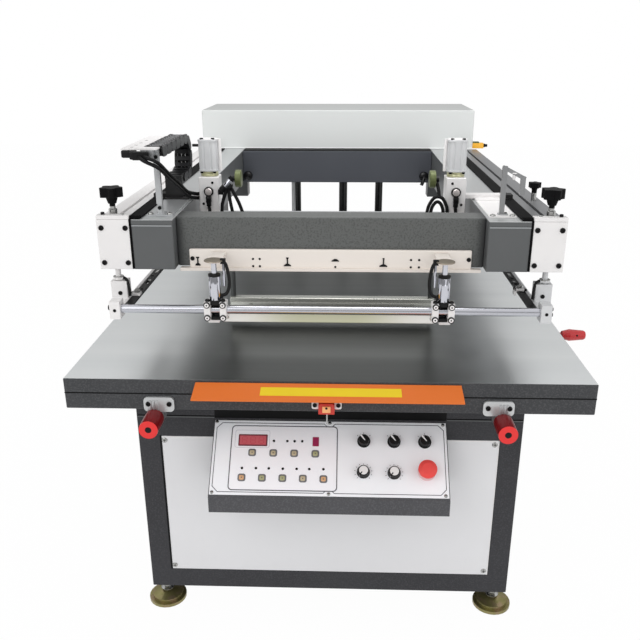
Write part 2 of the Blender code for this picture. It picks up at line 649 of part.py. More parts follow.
# Frame arms hung from the rails, slotted bars beside them and the rod between them
arm_z = (TABLE_H + ARM_H0, TABLE_H + ARM_H0 + ARM_TALL)
block_y = (ROD_Y - CLAMP_D / 2, ROD_Y + CLAMP_D / 2)
for letter, side in both_sides():
    arm = box("frame_arm_" + letter, span(side, ARM_IN, ARM_IN + ARM_T), (ROD_Y, ARM_END), arm_z, "aluminium", EDGE / 2)
    hanger = box("hanger_" + letter, span(side, ARM_IN + ARM_T / 2, STAR_X + CLAMP_W), around(HANGER_Y, CLAMP_D),
                 (arm_z[0], arm_z[1] + 2 * ROD_BLOCK))
    stud_z = (arm_z[1] + 2 * ROD_BLOCK - EDGE, HEAD_Z0 - GAP)
    stud = rod("stud_" + letter, (side * STAR_X, HANGER_Y, sum(stud_z) / 2), STEM_R, stud_z[1] - stud_z[0], "Z",
               None, 16)
    nut = rod("stud_nut_" + letter, (side * STAR_X, HANGER_Y, stud_z[0] + STEM_R), 2 * STEM_R, STEM_R, "Z", None, 6)
    rod_block = box("rod_block_" + letter, span(side, ARM_IN, ROD_HALF + CLAMP_W), block_y,
                    (ROD_Z - ROD_BLOCK, ROD_Z + ROD_BLOCK))
    join(arm, hanger, stud, nut, rod_block)
    cut(arm, rod("rod_hole_" + letter, (side * ROD_HALF, ROD_Y, ROD_Z), ROD_R + GAP, 2 * CLAMP_D, "X"))
    bar_x = span(side, ARM_IN - GAP - SLOT_BAR_W, ARM_IN - GAP)
    slot_bar = box("slot_bar_" + letter, bar_x, (SLOT_BAR_Y0, ARM_END), (arm_z[1] - SLOT_BAR_T, arm_z[1]),
                   "black_plastic")
    middle = sum(bar_x) / 2
    level = arm_z[1] - SLOT_BAR_T / 2
    for index, y in enumerate(ARM_HOLES):
        cut(slot_bar, rod(f"bar_hole_{letter}{index}", (middle, y, level), SLOT_BAR_W / 4, 2 * SLOT_BAR_T, "Z",
                          None, 16))
    cut(slot_bar, box("bar_slot_" + letter, around(middle, SLOT_BAR_W / 2), ARM_SLOT,
                      (level - SLOT_BAR_T, level + SLOT_BAR_T)))
rod("cross_rod", (0.0, ROD_Y, ROD_Z), ROD_R, 2 * ROD_HALF, "X", "chrome", 32)

# Lifts that hang the rod from the front plate: two half clamps, cylinder, rod and bracket
bar_end = CLAMP_X - CLAMP_W / 2
for letter, side in both_sides():
    lift = box("front_lift_" + letter, span(side, CLAMP_X - CLAMP_STEP, CLAMP_X + CLAMP_STEP), block_y,
               around(ROD_Z, 1.3 * CLAMP_HALF_H), "aluminium")
    halves = [
        box(f"half_clamp_{letter}{index}", around(side * CLAMP_X + step, CLAMP_W), block_y,
            around(ROD_Z, 2 * CLAMP_HALF_H))
        for index, step in enumerate((-CLAMP_STEP, CLAMP_STEP))
    ]
    centre = (side * CLAMP_X, ROD_Y)
    barrel_z = ROD_Z + CLAMP_HALF_H + LIFT_L / 2
    barrel = rod("lift_barrel_" + letter, (*centre, barrel_z - EDGE), LIFT_R, LIFT_L + 2 * CLAMP_W, "Z", None, 24)
    stem = rod("lift_stem_" + letter, (*centre, ROD_Z + LIFT_TOP - 0.018), LIFT_ROD_R, 0.036, "Z", None, 16)
    bracket = box("lift_bracket_" + letter, around(side * CLAMP_X, CLAMP_D), (ROD_Y - CLAMP_D / 3, plate_y[0] - GAP),
                  (ROD_Z + LIFT_TOP - 0.003, ROD_Z + LIFT_TOP + 0.002))
    toe = box("lift_toe_" + letter, span(side, bar_end, bar_end + 0.024), (ROD_Y - 0.004, block_y[1]),
              (ROD_Z - CLAMP_HALF_H - 0.008, ROD_Z - CLAMP_HALF_H + EDGE))
    hose = tube("lift_hose_" + letter, [
        (side * (CLAMP_X - 0.010), ROD_Y, ROD_Z + LIFT_TOP), (side * (CLAMP_X - 0.024), ROD_Y, ROD_Z + LIFT_TOP - 0.006),
        (side * (CLAMP_X - 0.030), ROD_Y, ROD_Z + LIFT_TOP - 0.035), (side * (CLAMP_X - 0.029), ROD_Y, ROD_Z + 0.048),
        (side * (CLAMP_X - 0.022), ROD_Y, ROD_Z + 0.034), (side * (CLAMP_X - LIFT_R / 2), ROD_Y, ROD_Z + 0.030),
    ], HOSE_R * 0.8, None, 4)
    join(lift, *halves, barrel, stem, bracket, toe, hose)
    cut(lift, rod("clamp_hole_" + letter, (*centre, ROD_Z), ROD_R + GAP, 4 * CLAMP_D, "X", None, 32))
bar_x = bar_end - CLAMP_W / 4
box("front_bar", (-bar_x, bar_x), (block_y[1] + GAP, block_y[1] + GAP + BAR_T),
    (ROD_Z - BAR_LOW, ROD_Z - BAR_LOW + BAR_H), "aluminium", EDGE)

# Squeegee carriage: bar between the beams, cylinders on it, sliding plates on the beams
car_y = around(CAR_Y, CAR_DEEP)
bar = box("carriage_bar", (-CAR_END, CAR_END), car_y, (CAR_Z0, CAR_TOP), "aluminium", EDGE)
for letter, side in both_sides():
    x = side * CAR_X
    block_top = TABLE_H + BLOCK_TOP
    lift = box("cylinder_" + letter, around(x, BLOCK_W), around(CAR_Y, BLOCK_D), (CAR_TOP + GAP, block_top),
               "white_aluminium", EDGE)
    wing = box("wing_" + letter, span(side, CAR_X, BELT_OUT - EDGE), (CAR_Y - WING_FRONT, CAR_Y + BLOCK_D / 2 - EDGE),
               (BELT_TOP + GAP, BELT_TOP + 3 * SHOE_T))
    shoe = box("shoe_" + letter, span(side, SHOE_IN, SHOE_OUT), (SHOE_Y0, SHOE_Y1), (HEAD_TOP + GAP, SHOE_TOP))
    pad = box("pad_" + letter, span(side, SHOE_IN, SHOE_OUT), car_y, (HEAD_TOP + GAP, BELT_TOP + SHOE_T))
    ring = rod("ring_" + letter, (x, CAR_Y, block_top + RING_T / 2), RING_R, 2 * RING_T)
    barrel_h = CYL_TOP - BLOCK_TOP - RING_T
    barrel = rod("barrel_" + letter, (x, CAR_Y, block_top + RING_T + barrel_h / 2), CYL_R, barrel_h, "Z", None, 32)
    thin = rod("thin_tube_" + letter, (x - side * (CYL_R + TUBE_R * 0.8), CAR_Y, block_top + RING_T + barrel_h / 2),
               TUBE_R, barrel_h, "Z", None, 12)
    join(lift, wing, shoe, pad, ring, barrel, thin)
    cut(bar, rod("runner_hole_" + letter, (side * RUNNER_X, CAR_Y, CAR_Z0), RUNNER_R + 2 * GAP, 4 * CAR_H))

# Air fittings on each cylinder: elbow hose at the front, gauge at the inner side, both down to a manifold
for letter, side in both_sides():
    x = side * CAR_X
    front = CAR_Y - BLOCK_D / 2 - GAP
    elbow_z = TABLE_H + ELBOW_H
    low = CAR_TOP + MANIFOLD_T / 2
    fittings = box("air_fittings_" + letter, span(side, GAUGE_X - 2 * GAUGE_T, CAR_X + BLOCK_W / 4),
                   (CAR_Y - CAR_DEEP / 2 + EDGE, front), (CAR_TOP + GAP, CAR_TOP + MANIFOLD_T), "black_plastic")
    elbow = rod("elbow_" + letter, (x, front - 0.006, elbow_z), 0.007, 0.012, "Y", None, 16)
    down = tube("elbow_hose_" + letter, [(x, front - 0.006, elbow_z), (x, front - 0.007, elbow_z - 0.02),
                                         (x, front - 0.006, low + 0.02), (x, front - 0.005, low)], HOSE_R)
    gauge_z = TABLE_H + GAUGE_H
    gauge = rod("gauge_" + letter, (side * GAUGE_X, CAR_Y - 0.012, gauge_z), GAUGE_R, GAUGE_T, "X", None, 24)
    arch = tube("gauge_hose_" + letter, [
        (side * (GAUGE_X + 0.030), CAR_Y - 0.030, low), (side * (GAUGE_X + 0.028), CAR_Y - 0.028, low + 0.045),
        (side * (GAUGE_X + 0.010), CAR_Y - 0.016, gauge_z - 0.020), (side * GAUGE_X, CAR_Y - 0.012, gauge_z - 0.014),
    ], HOSE_R)
    drop = tube("gauge_drop_" + letter, [
        (side * GAUGE_X, CAR_Y - 0.012, gauge_z - 0.012), (side * (GAUGE_X - 0.006), CAR_Y - 0.018, gauge_z - 0.035),
        (side * (GAUGE_X - 0.012), CAR_Y - 0.029, low + 0.02), (side * (GAUGE_X - 0.012), CAR_Y - 0.030, low),
    ], HOSE_R)
    join(fittings, elbow, down, gauge, arch, drop)

# Squeegee on two runners that slide up through the carriage bar
blade_top = TABLE_H + BLADE_H0 + BLADE_SHOWN
squeegee = box("squeegee", (-SQUEEGEE_HALF, SQUEEGEE_HALF), around(CAR_Y, SQUEEGEE_T),
               (blade_top, blade_top + SQUEEGEE_H), "aluminium", EDGE)
cut(squeegee, box("blade_slot", (-SQUEEGEE_HALF - EDGE, SQUEEGEE_HALF + EDGE), around(CAR_Y, BLADE_T + 2 * GAP),
                  (blade_top - EDGE, blade_top + BLADE_T)))
for letter, side in both_sides():
    runner_z = (blade_top + SQUEEGEE_H - EDGE, CAR_TOP)
    join(squeegee, rod("runner_" + letter, (side * RUNNER_X, CAR_Y, sum(runner_z) / 2), RUNNER_R,
                       runner_z[1] - runner_z[0]))
blade_half = SQUEEGEE_HALF - 2 * EDGE
box("squeegee_blade", (-blade_half, blade_half), around(CAR_Y, BLADE_T),
    (TABLE_H + BLADE_H0, blade_top + BLADE_T - GAP), "orange_paint")

# Energy chain: links with two side plates and cross bars, on a smooth bend
pivots = [(BEND_Y - LINK_PITCH * (UPPER_LINKS - i), BEND_Z + BEND_R) for i in range(UPPER_LINKS)]
for i in range(BEND_LINKS + 1):
    a = math.pi / 2 - math.pi * i / BEND_LINKS
    pivots.append((BEND_Y + BEND_R * math.cos(a), BEND_Z + BEND_R * math.sin(a)))
pivots += [(BEND_Y - LINK_PITCH * (i + 1), BEND_Z - BEND_R) for i in range(LOWER_LINKS)]


def link_outline(a, b):
    """A plate with round ends about two neighbouring pivots."""
    heading = math.atan2(b[1] - a[1], b[0] - a[0])
    points = []
    for centre, start in ((b, heading - math.pi / 2), (a, heading + math.pi / 2)):
        for i in range(7):
            angle = start + math.pi * i / 6
            points.append((centre[0] + LINK_R * math.cos(angle), centre[1] + LINK_R * math.sin(angle)))
    return points


links = list(zip(pivots, pivots[1:]))
plates = {"outer": [link_outline(*pair) for pair in links[::2]], "inner": [link_outline(*pair) for pair in links[1::2]]}
reach = {"outer": CHAIN_W / 2, "inner": CHAIN_W / 2 - LINK_PLATE + GAP}
cross_bars = bmesh.new()
for index, (a, b) in enumerate(links):
    heading = math.atan2(b[1] - a[1], b[0] - a[0])
    wide = CHAIN_W - LINK_PLATE if index % 2 == 0 else CHAIN_W - 3 * LINK_PLATE
    for edge in (-1, 1):
        shape = Matrix.Diagonal((wide, LINK_PITCH * 0.45, LINK_PLATE, 1.0))
        place = Matrix.Translation((CHAIN_X, (a[0] + b[0]) / 2, (a[1] + b[1]) / 2)) @ Matrix.Rotation(heading, 4, "X")
        lift_off = Matrix.Translation((0.0, 0.0, edge * (LINK_R - LINK_PLATE / 2 - GAP)))
        bmesh.ops.create_cube(cross_bars, size=1.0, matrix=place @ lift_off @ shape)
chain = add("energy_chain", mesh_from(cross_bars, "energy_chain"), "black_plastic")
for kind, outlines in plates.items():
    for letter, side in both_sides():
        limits = span(side, reach[kind] - LINK_PLATE, reach[kind])
        join(chain, extruded(f"{kind}_plates_{letter}", outlines, (CHAIN_X + limits[0], CHAIN_X + limits[1])))

# Mast and tray that hold the front end of the chain, and the foot of its lower end
chain_y0 = pivots[0][0] - LINK_R - GAP
low_y = pivots[-1][0] - LINK_R - GAP
chain_x = around(CHAIN_X, CHAIN_W)
tray_z = (TABLE_H + CHAIN_TOP - TRAY_T, TABLE_H + CHAIN_TOP)
mast_y = (SHOE_Y0 + EDGE, SHOE_Y0 + EDGE + MAST_D)
mast = box("chain_mast", (MAST_X0, MAST_X1), mast_y, (SHOE_TOP + GAP, tray_z[1]), "aluminium")
join(
    mast,
    box("tray_front", (TRAY_OUT, MAST_X1), (SHOE_Y0 - PLATE_T, chain_y0), tray_z),
    box("tray_side", (TRAY_OUT, chain_x[0] - 4 * GAP), (chain_y0 - EDGE, TRAY_Y1), tray_z),
    box("chain_end", (chain_x[0], MAST_X0 + EDGE), (SHOE_Y0 - PLATE_T + EDGE, chain_y0 - GAP),
        (tray_z[0] - 2 * LINK_R, tray_z[0] + EDGE)),
)
chain_foot = box("chain_foot", chain_x, (low_y - PLATE_T, low_y), (SHOE_TOP - EDGE, BEND_Z - BEND_R + LINK_R))
join(bpy.data.objects["cylinder_l"], chain_foot)

# Cables from the tray down to the left cylinder block
cable_y = SHOE_Y0 - PLATE_T - GAP
start_z = TABLE_H + CHAIN_TOP - TRAY_T - LINK_R
cables = box("chain_cables", (-0.404, -0.374), (cable_y - 0.014, cable_y), (start_z - 0.008, start_z + 0.008),
             "black_plastic")
for index, rise in enumerate((0.0, 0.010)):
    block_side = -CAR_X - BLOCK_W / 2 - 4 * GAP
    route = [
        (-0.395 + rise, cable_y - 0.008, start_z), (-0.378 + rise, cable_y - 0.024, start_z - 0.008 + rise / 2),
        (-0.352, 0.150, start_z - 0.024 + rise), (-0.344, 0.195, TABLE_H + 0.382 + rise),
        (-0.340, 0.265, TABLE_H + 0.352 + rise), (-0.334, 0.328, TABLE_H + 0.320 + rise),
        (-0.3215, 0.362, TABLE_H + 0.3085 + rise), (block_side, 0.362, TABLE_H + 0.3085 + rise),
    ]
    join(cables, tube(f"cable_{index}", route, HOSE_R))

# Sensor bracket on the right sliding plate: a tall leg, an arm that falls outward and a short leg
sensor_x = around(SENSOR_X, SENSOR_W)
arm_top = TABLE_H + SENSOR_TOP
arm_out = SENSOR_REACH * math.cos(SENSOR_FALL)
arm_fall = SENSOR_REACH * math.sin(SENSOR_FALL)
slant_z = arm_top - (SENSOR_T + arm_fall) / 2
sensor = box("sensor_bracket", sensor_x, around(SENSOR_Y, SENSOR_T), (SHOE_TOP + GAP, arm_top), "aluminium")
slant = box("sensor_arm", around(SENSOR_X + arm_out / 2, SENSOR_REACH + SENSOR_W), around(SENSOR_Y, SENSOR_T - EDGE),
            around(slant_z, SENSOR_T))
slant.rotation_euler = (0.0, SENSOR_FALL, 0.0)
drop = box("sensor_drop", around(SENSOR_X + arm_out, SENSOR_W), around(SENSOR_Y, SENSOR_T),
           (arm_top - arm_fall - 5 * SENSOR_T, arm_top - arm_fall - EDGE))
join(sensor, slant, drop)

# Apply the shaping steps and shade round faces smooth
bpy.context.view_layer.update()
depsgraph = bpy.context.evaluated_depsgraph_get()
shaped = {obj: bpy.data.meshes.new_from_object(obj.evaluated_get(depsgraph)) for obj in parts.objects}
for obj, mesh in shaped.items():
    obj.modifiers.clear()
    obj.data = mesh
    mesh.shade_smooth()
    mesh.set_sharp_from_angle(angle=SMOOTH_ANGLE)
for tool in list(cutters.objects):
    bpy.data.objects.remove(tool, do_unlink=True)

# Empties on the joint axes: everything on a body hangs from its empty
CARRIAGE = ("carriage_bar", "cylinder_l", "cylinder_r", "air_fittings_l", "air_fittings_r", "chain_mast",
            "energy_chain", "chain_cables", "sensor_bracket")
SQUEEGEE = ("squeegee", "squeegee_blade")
HEAD = ("side_beam_l", "side_beam_r", "end_plate_l", "end_plate_r", "slot_rail_l", "slot_rail_r", "belt_l", "belt_r",
        "front_beam", "rear_beam", "front_plate", "hood", "frame_arm_l", "frame_arm_r", "slot_bar_l", "slot_bar_r",
        "front_lift_l", "front_lift_r", "front_bar", "cross_rod", "star_knob_l", "star_knob_r", "star_knob_rear")


def empty(name, place, parent=None):
    """An empty at a world place."""
    marker = bpy.data.objects.new(name, None)
    bpy.context.scene.collection.objects.link(marker)
    marker.location = place - (parent.matrix_world.translation if parent else Vector())
    marker.parent = parent
    bpy.context.view_layer.update()
    return marker


machine = empty("machine", -MIDDLE)
head_pivot = empty("head_pivot", Vector((0.0, PIVOT_Y, PIVOT_Z)) - MIDDLE, machine)
carriage_slide = empty("carriage_slide", Vector((0.0, CAR_Y, CAR_Z0)) - MIDDLE, head_pivot)
squeegee_lift = empty("squeegee_lift", Vector((0.0, CAR_Y, blade_top)) - MIDDLE, carriage_slide)
for obj in parts.objects:
    holder = machine
    for marker, names in ((head_pivot, HEAD), (carriage_slide, CARRIAGE), (squeegee_lift, SQUEEGEE)):
        if obj.name in names:
            holder = marker
    obj.location = obj.location - MIDDLE - holder.matrix_world.translation
    obj.parent = holder
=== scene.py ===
from math import atan2, cos, pi, radians, sin

import bmesh
import bpy
from mathutils import Matrix, Vector


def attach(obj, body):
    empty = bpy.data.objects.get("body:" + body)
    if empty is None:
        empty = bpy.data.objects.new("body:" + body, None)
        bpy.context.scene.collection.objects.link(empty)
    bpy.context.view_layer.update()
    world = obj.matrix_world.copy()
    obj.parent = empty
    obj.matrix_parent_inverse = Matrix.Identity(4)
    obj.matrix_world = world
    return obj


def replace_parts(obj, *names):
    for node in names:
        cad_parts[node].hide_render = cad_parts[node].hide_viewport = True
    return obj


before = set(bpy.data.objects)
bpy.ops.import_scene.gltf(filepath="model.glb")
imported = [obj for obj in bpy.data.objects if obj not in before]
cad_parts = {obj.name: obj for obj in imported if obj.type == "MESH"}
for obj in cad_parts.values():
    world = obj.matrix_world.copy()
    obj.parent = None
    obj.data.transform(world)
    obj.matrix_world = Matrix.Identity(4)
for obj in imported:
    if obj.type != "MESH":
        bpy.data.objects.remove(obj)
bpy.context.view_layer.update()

# Camera: the photograph's view, solved from the edges of the bed and the panel
CAMERA_PLACE = (-0.0001, -2.2102, 1.3005)
CAMERA_DOWN = 0.368
CAMERA_TURN = 0.035
CAMERA_ROLL = 0.002
CAMERA_LENS = 42.57
CAMERA_SHIFT = 0.0307

camera_data = bpy.data.cameras.new("camera")
camera_data.sensor_width = 36.0
camera_data.lens = CAMERA_LENS
camera_data.shift_y = CAMERA_SHIFT
camera = bpy.data.objects.new("camera", camera_data)
scene = bpy.context.scene
scene.collection.objects.link(camera)
look = Matrix.Rotation(CAMERA_TURN, 4, "Z") @ Matrix.Rotation(pi / 2 - CAMERA_DOWN, 4, "X")
camera.matrix_world = Matrix.Translation(CAMERA_PLACE) @ look @ Matrix.Rotation(-CAMERA_ROLL, 4, "Z")
scene.camera = camera
scene.view_settings.view_transform = "Standard"


# Pieces are drawn in millimetres. TABLE: x from the middle, y back from the bed's front edge, z up from the bed.
# FACE: x from the middle, y up the tilted panel, z out from it.
MM = 0.001
ORIGIN = {"X": -0.034, "Y": -0.79425, "Z": 0.662}   # the bed's middle, front edge and top in the frame
TABLE = Matrix.Translation(tuple(ORIGIN.values())) @ Matrix.Diagonal((MM, MM, MM, 1))
PANEL_MID = Vector((0, 28.35, -196))
PANEL_UP = Vector((0, 132.7, 122)).normalized()
PANEL_OUT = Vector((1, 0, 0)).cross(PANEL_UP)
FACE = TABLE @ Matrix((
    (1, PANEL_UP.x, PANEL_OUT.x, PANEL_MID.x),
    (0, PANEL_UP.y, PANEL_OUT.y, PANEL_MID.y),
    (0, PANEL_UP.z, PANEL_OUT.z, PANEL_MID.z),
    (0, 0, 0, 1),
))
SIDES = (("l", -1), ("r", 1))
UP, DOWN, FRONT, BACK = (0, 0, 1), (0, 0, -1), (0, -1, 0), (0, 1, 0)


# Finishes

RELIEF = 0.0006             # depth of the relief in metres
SPECK_RANGE = (0.48, 0.66)  # the part of the noise in which specks grow
COAT_ROUGH = 0.15
LEAST_ROUGH = 0.02
# Brushed or drawn along an axis
STRETCH = {"": (1, 1, 1), "X": (0.02, 1, 1), "Y": (1, 0.02, 1), "Z": (1, 1, 0.04), "belt": (1, 0.1, 1)}
BUILDERS = {}


def feed(tree, target, inputs):
    """Gives sockets of a node a value, or links them to an output."""
    for key, value in inputs.items():
        if isinstance(value, bpy.types.NodeSocket):
            tree.links.new(value, target.inputs[key])
        else:
            target.inputs[key].default_value = value


def node(tree, kind, inputs=None, **settings):
    """The outputs of a new node."""
    made = tree.nodes.new("ShaderNode" + kind)
    for key, value in settings.items():
        setattr(made, key, value)
    feed(tree, made, inputs or {})
    return made.outputs


def calc(tree, operation, *values):
    return node(tree, "Math", dict(enumerate(values)), operation=operation)["Value"]


def material(name, build):
    """A material whose shader gets the sockets that build returns for a tree."""
    mat = bpy.data.materials.new(name)
    mat.use_nodes = True
    feed(mat.node_tree, mat.node_tree.nodes["Principled BSDF"], build(mat.node_tree))
    BUILDERS[mat.name] = build
    return mat


def tone(colour):
    """An sRGB colour, 0 to 255, as linear light."""
    parts = [value / 255 for value in colour]
    return (*[part / 12.92 if part <= 0.04045 else ((part + 0.055) / 1.055) ** 2.4 for part in parts], 1)


def finish(name, colour, tint, rough, scale=40, metal=0, bump=0, bump_scale=None, along="", spread=0.12,
           detail=4, coat=0, shine=0.5, speck=None, middle=None):
    """A mottled colour, uneven gloss and a fine relief, all in the object's own space.

    speck is (colour, scale). middle is (colour, its tint, inner, outer): another colour within those distances of the
    machine's middle."""
    def build(tree):
        def cloud(vector, size, depth):
            return node(tree, "TexNoise", {"Vector": vector, "Scale": size, "Detail": depth})["Fac"]

        def blend(first, second, factor):
            return node(tree, "Mix", {"A": first, "B": second, "Factor": factor}, data_type="RGBA")["Result"]

        sockets = {"Metallic": metal, "Specular IOR Level": shine}
        if coat:
            sockets.update({"Coat Weight": coat, "Coat Roughness": COAT_ROUGH})
        place = node(tree, "TexCoord")["Object"]
        spun = node(tree, "Mapping", {"Vector": place, "Scale": STRETCH[along]})["Vector"]
        noise = cloud(spun, scale, detail)
        out = blend(tone(colour), tone(tint), noise)
        pattern = noise
        if speck:
            pattern = node(tree, "MapRange", {"Value": cloud(place, speck[1], 2), "From Min": SPECK_RANGE[0],
                                              "From Max": SPECK_RANGE[1]})["Result"]
            out = blend(out, tone(speck[0]), pattern)
        if middle:
            across = node(tree, "SeparateXYZ", {"Vector": place})["X"]
            away = calc(tree, "ABSOLUTE", calc(tree, "ADD", across, -ORIGIN["X"]))
            fade = node(tree, "MapRange", {"Value": away, "From Min": middle[2], "From Max": middle[3]},
                        interpolation_type="SMOOTHSTEP")["Result"]
            out = blend(blend(tone(middle[0]), tone(middle[1]), pattern), out, fade)
        sockets["Base Color"] = out
        sockets["Roughness"] = node(tree, "MapRange", {"Value": noise, "To Min": max(rough - spread / 2, LEAST_ROUGH),
                                                       "To Max": rough + spread / 2})["Result"]
        if bump:
            grain = cloud(spun, bump_scale or scale * 4, 3)
            sockets["Normal"] = node(tree, "Bump", {"Height": grain, "Strength": bump, "Distance": RELIEF})["Normal"]
        return sockets

    return material(name, build)


def zone(name, first, second, axis, limit, below=False):
    """The second finish above (or below) the limit, in metres from the ORIGIN on one axis, the first elsewhere.

    Coat and specular level are the first's. The first's relief goes on where the second has none."""
    def build(tree):
        sockets, others = BUILDERS[first.name](tree), BUILDERS[second.name](tree)
        place = node(tree, "SeparateXYZ", {"Vector": node(tree, "TexCoord")["Object"]})[axis]
        test = calc(tree, "LESS_THAN" if below else "GREATER_THAN", place, ORIGIN[axis] + limit)
        if "Normal" in others and "Normal" not in sockets:
            sockets["Normal"] = node(tree, "NewGeometry")["Normal"]
        for socket, kind in (("Base Color", "RGBA"), ("Roughness", "FLOAT"), ("Normal", "VECTOR")):
            if socket in others:
                mix = tree.nodes.new("ShaderNodeMix")
                mix.data_type = kind
                ends = [end for end in mix.inputs if end.enabled]
                for end, source in zip(ends, (test, sockets[socket], others[socket])):
                    tree.links.new(source, end)
                sockets[socket] = [end for end in mix.outputs if end.enabled][0]
        if sockets["Metallic"] != others["Metallic"]:
            sockets["Metallic"] = node(tree, "MapRange", {"Value": test, "To Min": sockets["Metallic"],
                                                          "To Max": others["Metallic"]})["Result"]
        return sockets

    return material(name, build)


# Name, colour, tint, roughness, scale of the mottling, metal, relief and its scale
HAMMER = finish("hammertone", (66, 67, 69), (58, 59, 61), 0.48, 9, 0, 0.18, 320, shine=0.22, speck=((76, 77, 79), 300))
# Front beam paint: the middle colour is the beam's own paint; the dark base colour towards both ends is painted shade
# beside the boxes.
BEAM_PAINT_SHADED_ENDS = finish("hammertone_beam_shaded_ends", (46, 47, 48), (41, 42, 43), 0.44, 7, 0, 0.3, 300, shine=0.3,
    speck=((47, 48, 49), 260), middle=((95, 97, 96), (80, 82, 81), 0.306, 0.332))
HAMMER_FRONT = finish("hammertone_front", (92, 94, 95), (84, 86, 87), 0.42, 9, 0, 0.2, 300, shine=0.4)
SLATE = finish("slate_paint", (75, 78, 84), (64, 66, 73), 0.32, 6, 0, 0.12, 240, along="Z")
POST_PAINT = finish("post_paint", (58, 58, 61), (51, 51, 54), 0.48, 8, 0, 0.18, 300, shine=0.22,
    speck=((65, 65, 68), 300))
BOX_PAINT = finish("box_paint", (80, 80, 83), (71, 71, 74), 0.48, 8, 0, 0.18, 300, shine=0.22,
    speck=((88, 88, 91), 300))
MID_STEEL = finish("mid_steel", (200, 202, 203), (172, 174, 176), 0.34, 14, 0.7, 0.06, 600, along="Y", spread=0.16)
# Bed steel: the darker colour in the middle of the bed is a painted reflection of the dark head above it.
BED_STEEL_PAINTED_REFLECTION = finish("brushed_steel", (250, 252, 252), (222, 226, 227), 0.3, 9, 1, 0.06, 900, along="X", spread=0.14,
    detail=8, middle=((132, 134, 132), (74, 76, 75), 0.20, 0.36))
RUNNER = finish("runner_steel", (92, 94, 94), (80, 82, 82), 0.34, 30, 0.6)
BEAM_STEEL = finish("beam_steel", (214, 216, 216), (188, 190, 191), 0.3, 9, 0.8, 0.05, 700, along="Y")
FLANGE = finish("flange_aluminium", (226, 228, 228), (166, 168, 170), 0.3, 10, 0.6, 0.06, 900, along="X", detail=6)
RAIL_GREY = finish("rail_grey", (146, 147, 149), (108, 109, 111), 0.36, 20, 0.6, 0.06, 900, along="Y")
BRACKET = finish("bracket_grey", (160, 161, 162), (126, 127, 128), 0.34, 30, 0.6, 0.06, 700, along="Z")
ALUMINIUM = finish("aluminium", (198, 200, 201), (172, 174, 176), 0.34, 26, 0.85, 0.06, 900, along="Y")
BAR_METAL = finish("bar_metal", (214, 214, 208), (180, 181, 172), 0.26, 8, 0.9, 0.05, 800, along="X")
BAR_FACE = finish("bar_face", (246, 245, 243), (228, 227, 220), 0.28, 8, 0.5, 0.05, 800, along="X",
    middle=((212, 212, 186), (172, 174, 146), 0.05, 0.22))
SILVER = finish("silver_paint", (214, 215, 216), (200, 201, 203), 0.34, 30, 0.25, 0.08, 500)
WHITE_METAL = finish("white_metal", (236, 234, 233), (226, 224, 224), 0.36, 22, 0.1, 0.08, 420)
CREAM = finish("cream_paint", (236, 229, 222), (228, 219, 210), 0.38, 14, 0, 0.06, 300, along="X")
CHROME = finish("chrome", (208, 209, 216), (192, 193, 201), 0.08, 60, 1, 0.02, 600, spread=0.06)
ROD = finish("rod_chrome", (204, 205, 211), (184, 185, 192), 0.22, 30, 1, 0.02, 600, along="X", spread=0.06)
ZINC = finish("yellow_zinc", (158, 152, 104), (112, 104, 62), 0.34, 34, 0.75, 0.1, speck=((150, 132, 104), 60))
NUT_METAL = finish("nut_metal", (190, 190, 188), (160, 160, 158), 0.24, 80, 1, 0.05, shine=0.1)
BLACK = finish("black_plastic", (17, 17, 18), (23, 23, 24), 0.44, 60, 0, 0.12, 700, shine=0.22)
GLOSS_BLACK = finish("gloss_black", (11, 11, 12), (17, 17, 18), 0.24, 50, 0, 0.04, shine=0.35)
STAR_BLACK = finish("star_black", (8, 8, 9), (13, 13, 14), 0.5, 60, 0, 0.1, 700, shine=0.1)
RUBBER = finish("black_rubber", (15, 15, 16), (22, 22, 23), 0.55, 120, 0, 0.2, 900, shine=0.2)
BELT = finish("belt_rubber", (9, 9, 10), (14, 14, 15), 0.7, 70, 0, 0.2, along="belt", shine=0.06)
SOCKET = finish("black_oxide", (11, 11, 12), (18, 18, 19), 0.4, 90, 0, 0.05, shine=0.2)
LIGHT_PANEL = finish("light_panel", (226, 226, 228), (220, 220, 222), 0.42, 5, 0, 0.10, 420)
HOOD_GREY = finish("hood_grey", (214, 216, 215), (208, 211, 210), 0.46, 4, 0, 0.08, 350, along="X", shine=0.15)
# The hood's top face: the hood's grey made darker, painted shade on the top.
HOOD_TOP_SHADED = finish("hood_top_painted_shade", (184, 186, 185), (178, 180, 179), 0.5, 4, 0, 0.08, 350, along="X", shine=0.15)
# White of the hood's lower edge: a painted highlight on its return edge.
HOOD_EDGE_HIGHLIGHT = finish("hood_edge_painted_highlight", (236, 237, 236), (228, 229, 229), 0.42, 12, 0, 0.05)
PANEL_WHITE = finish("panel_white", (248, 249, 252), (243, 244, 248), 0.36, 8, 0, 0.04, 500)
MEMBRANE = finish("membrane_film", (250, 249, 252), (246, 245, 250), 0.3, 10, 0, 0.03, coat=0.25)
INK = finish("panel_ink", (84, 84, 92), (70, 70, 78), 0.45, 90)
ORANGE = finish("orange_paint", (222, 116, 46), (212, 106, 40), 0.36, 7, 0, 0.08, 380, along="X", shine=0.25)
YELLOW = finish("yellow_film", (230, 200, 34), (220, 190, 30), 0.34, 16, 0, 0.05, shine=0.25)
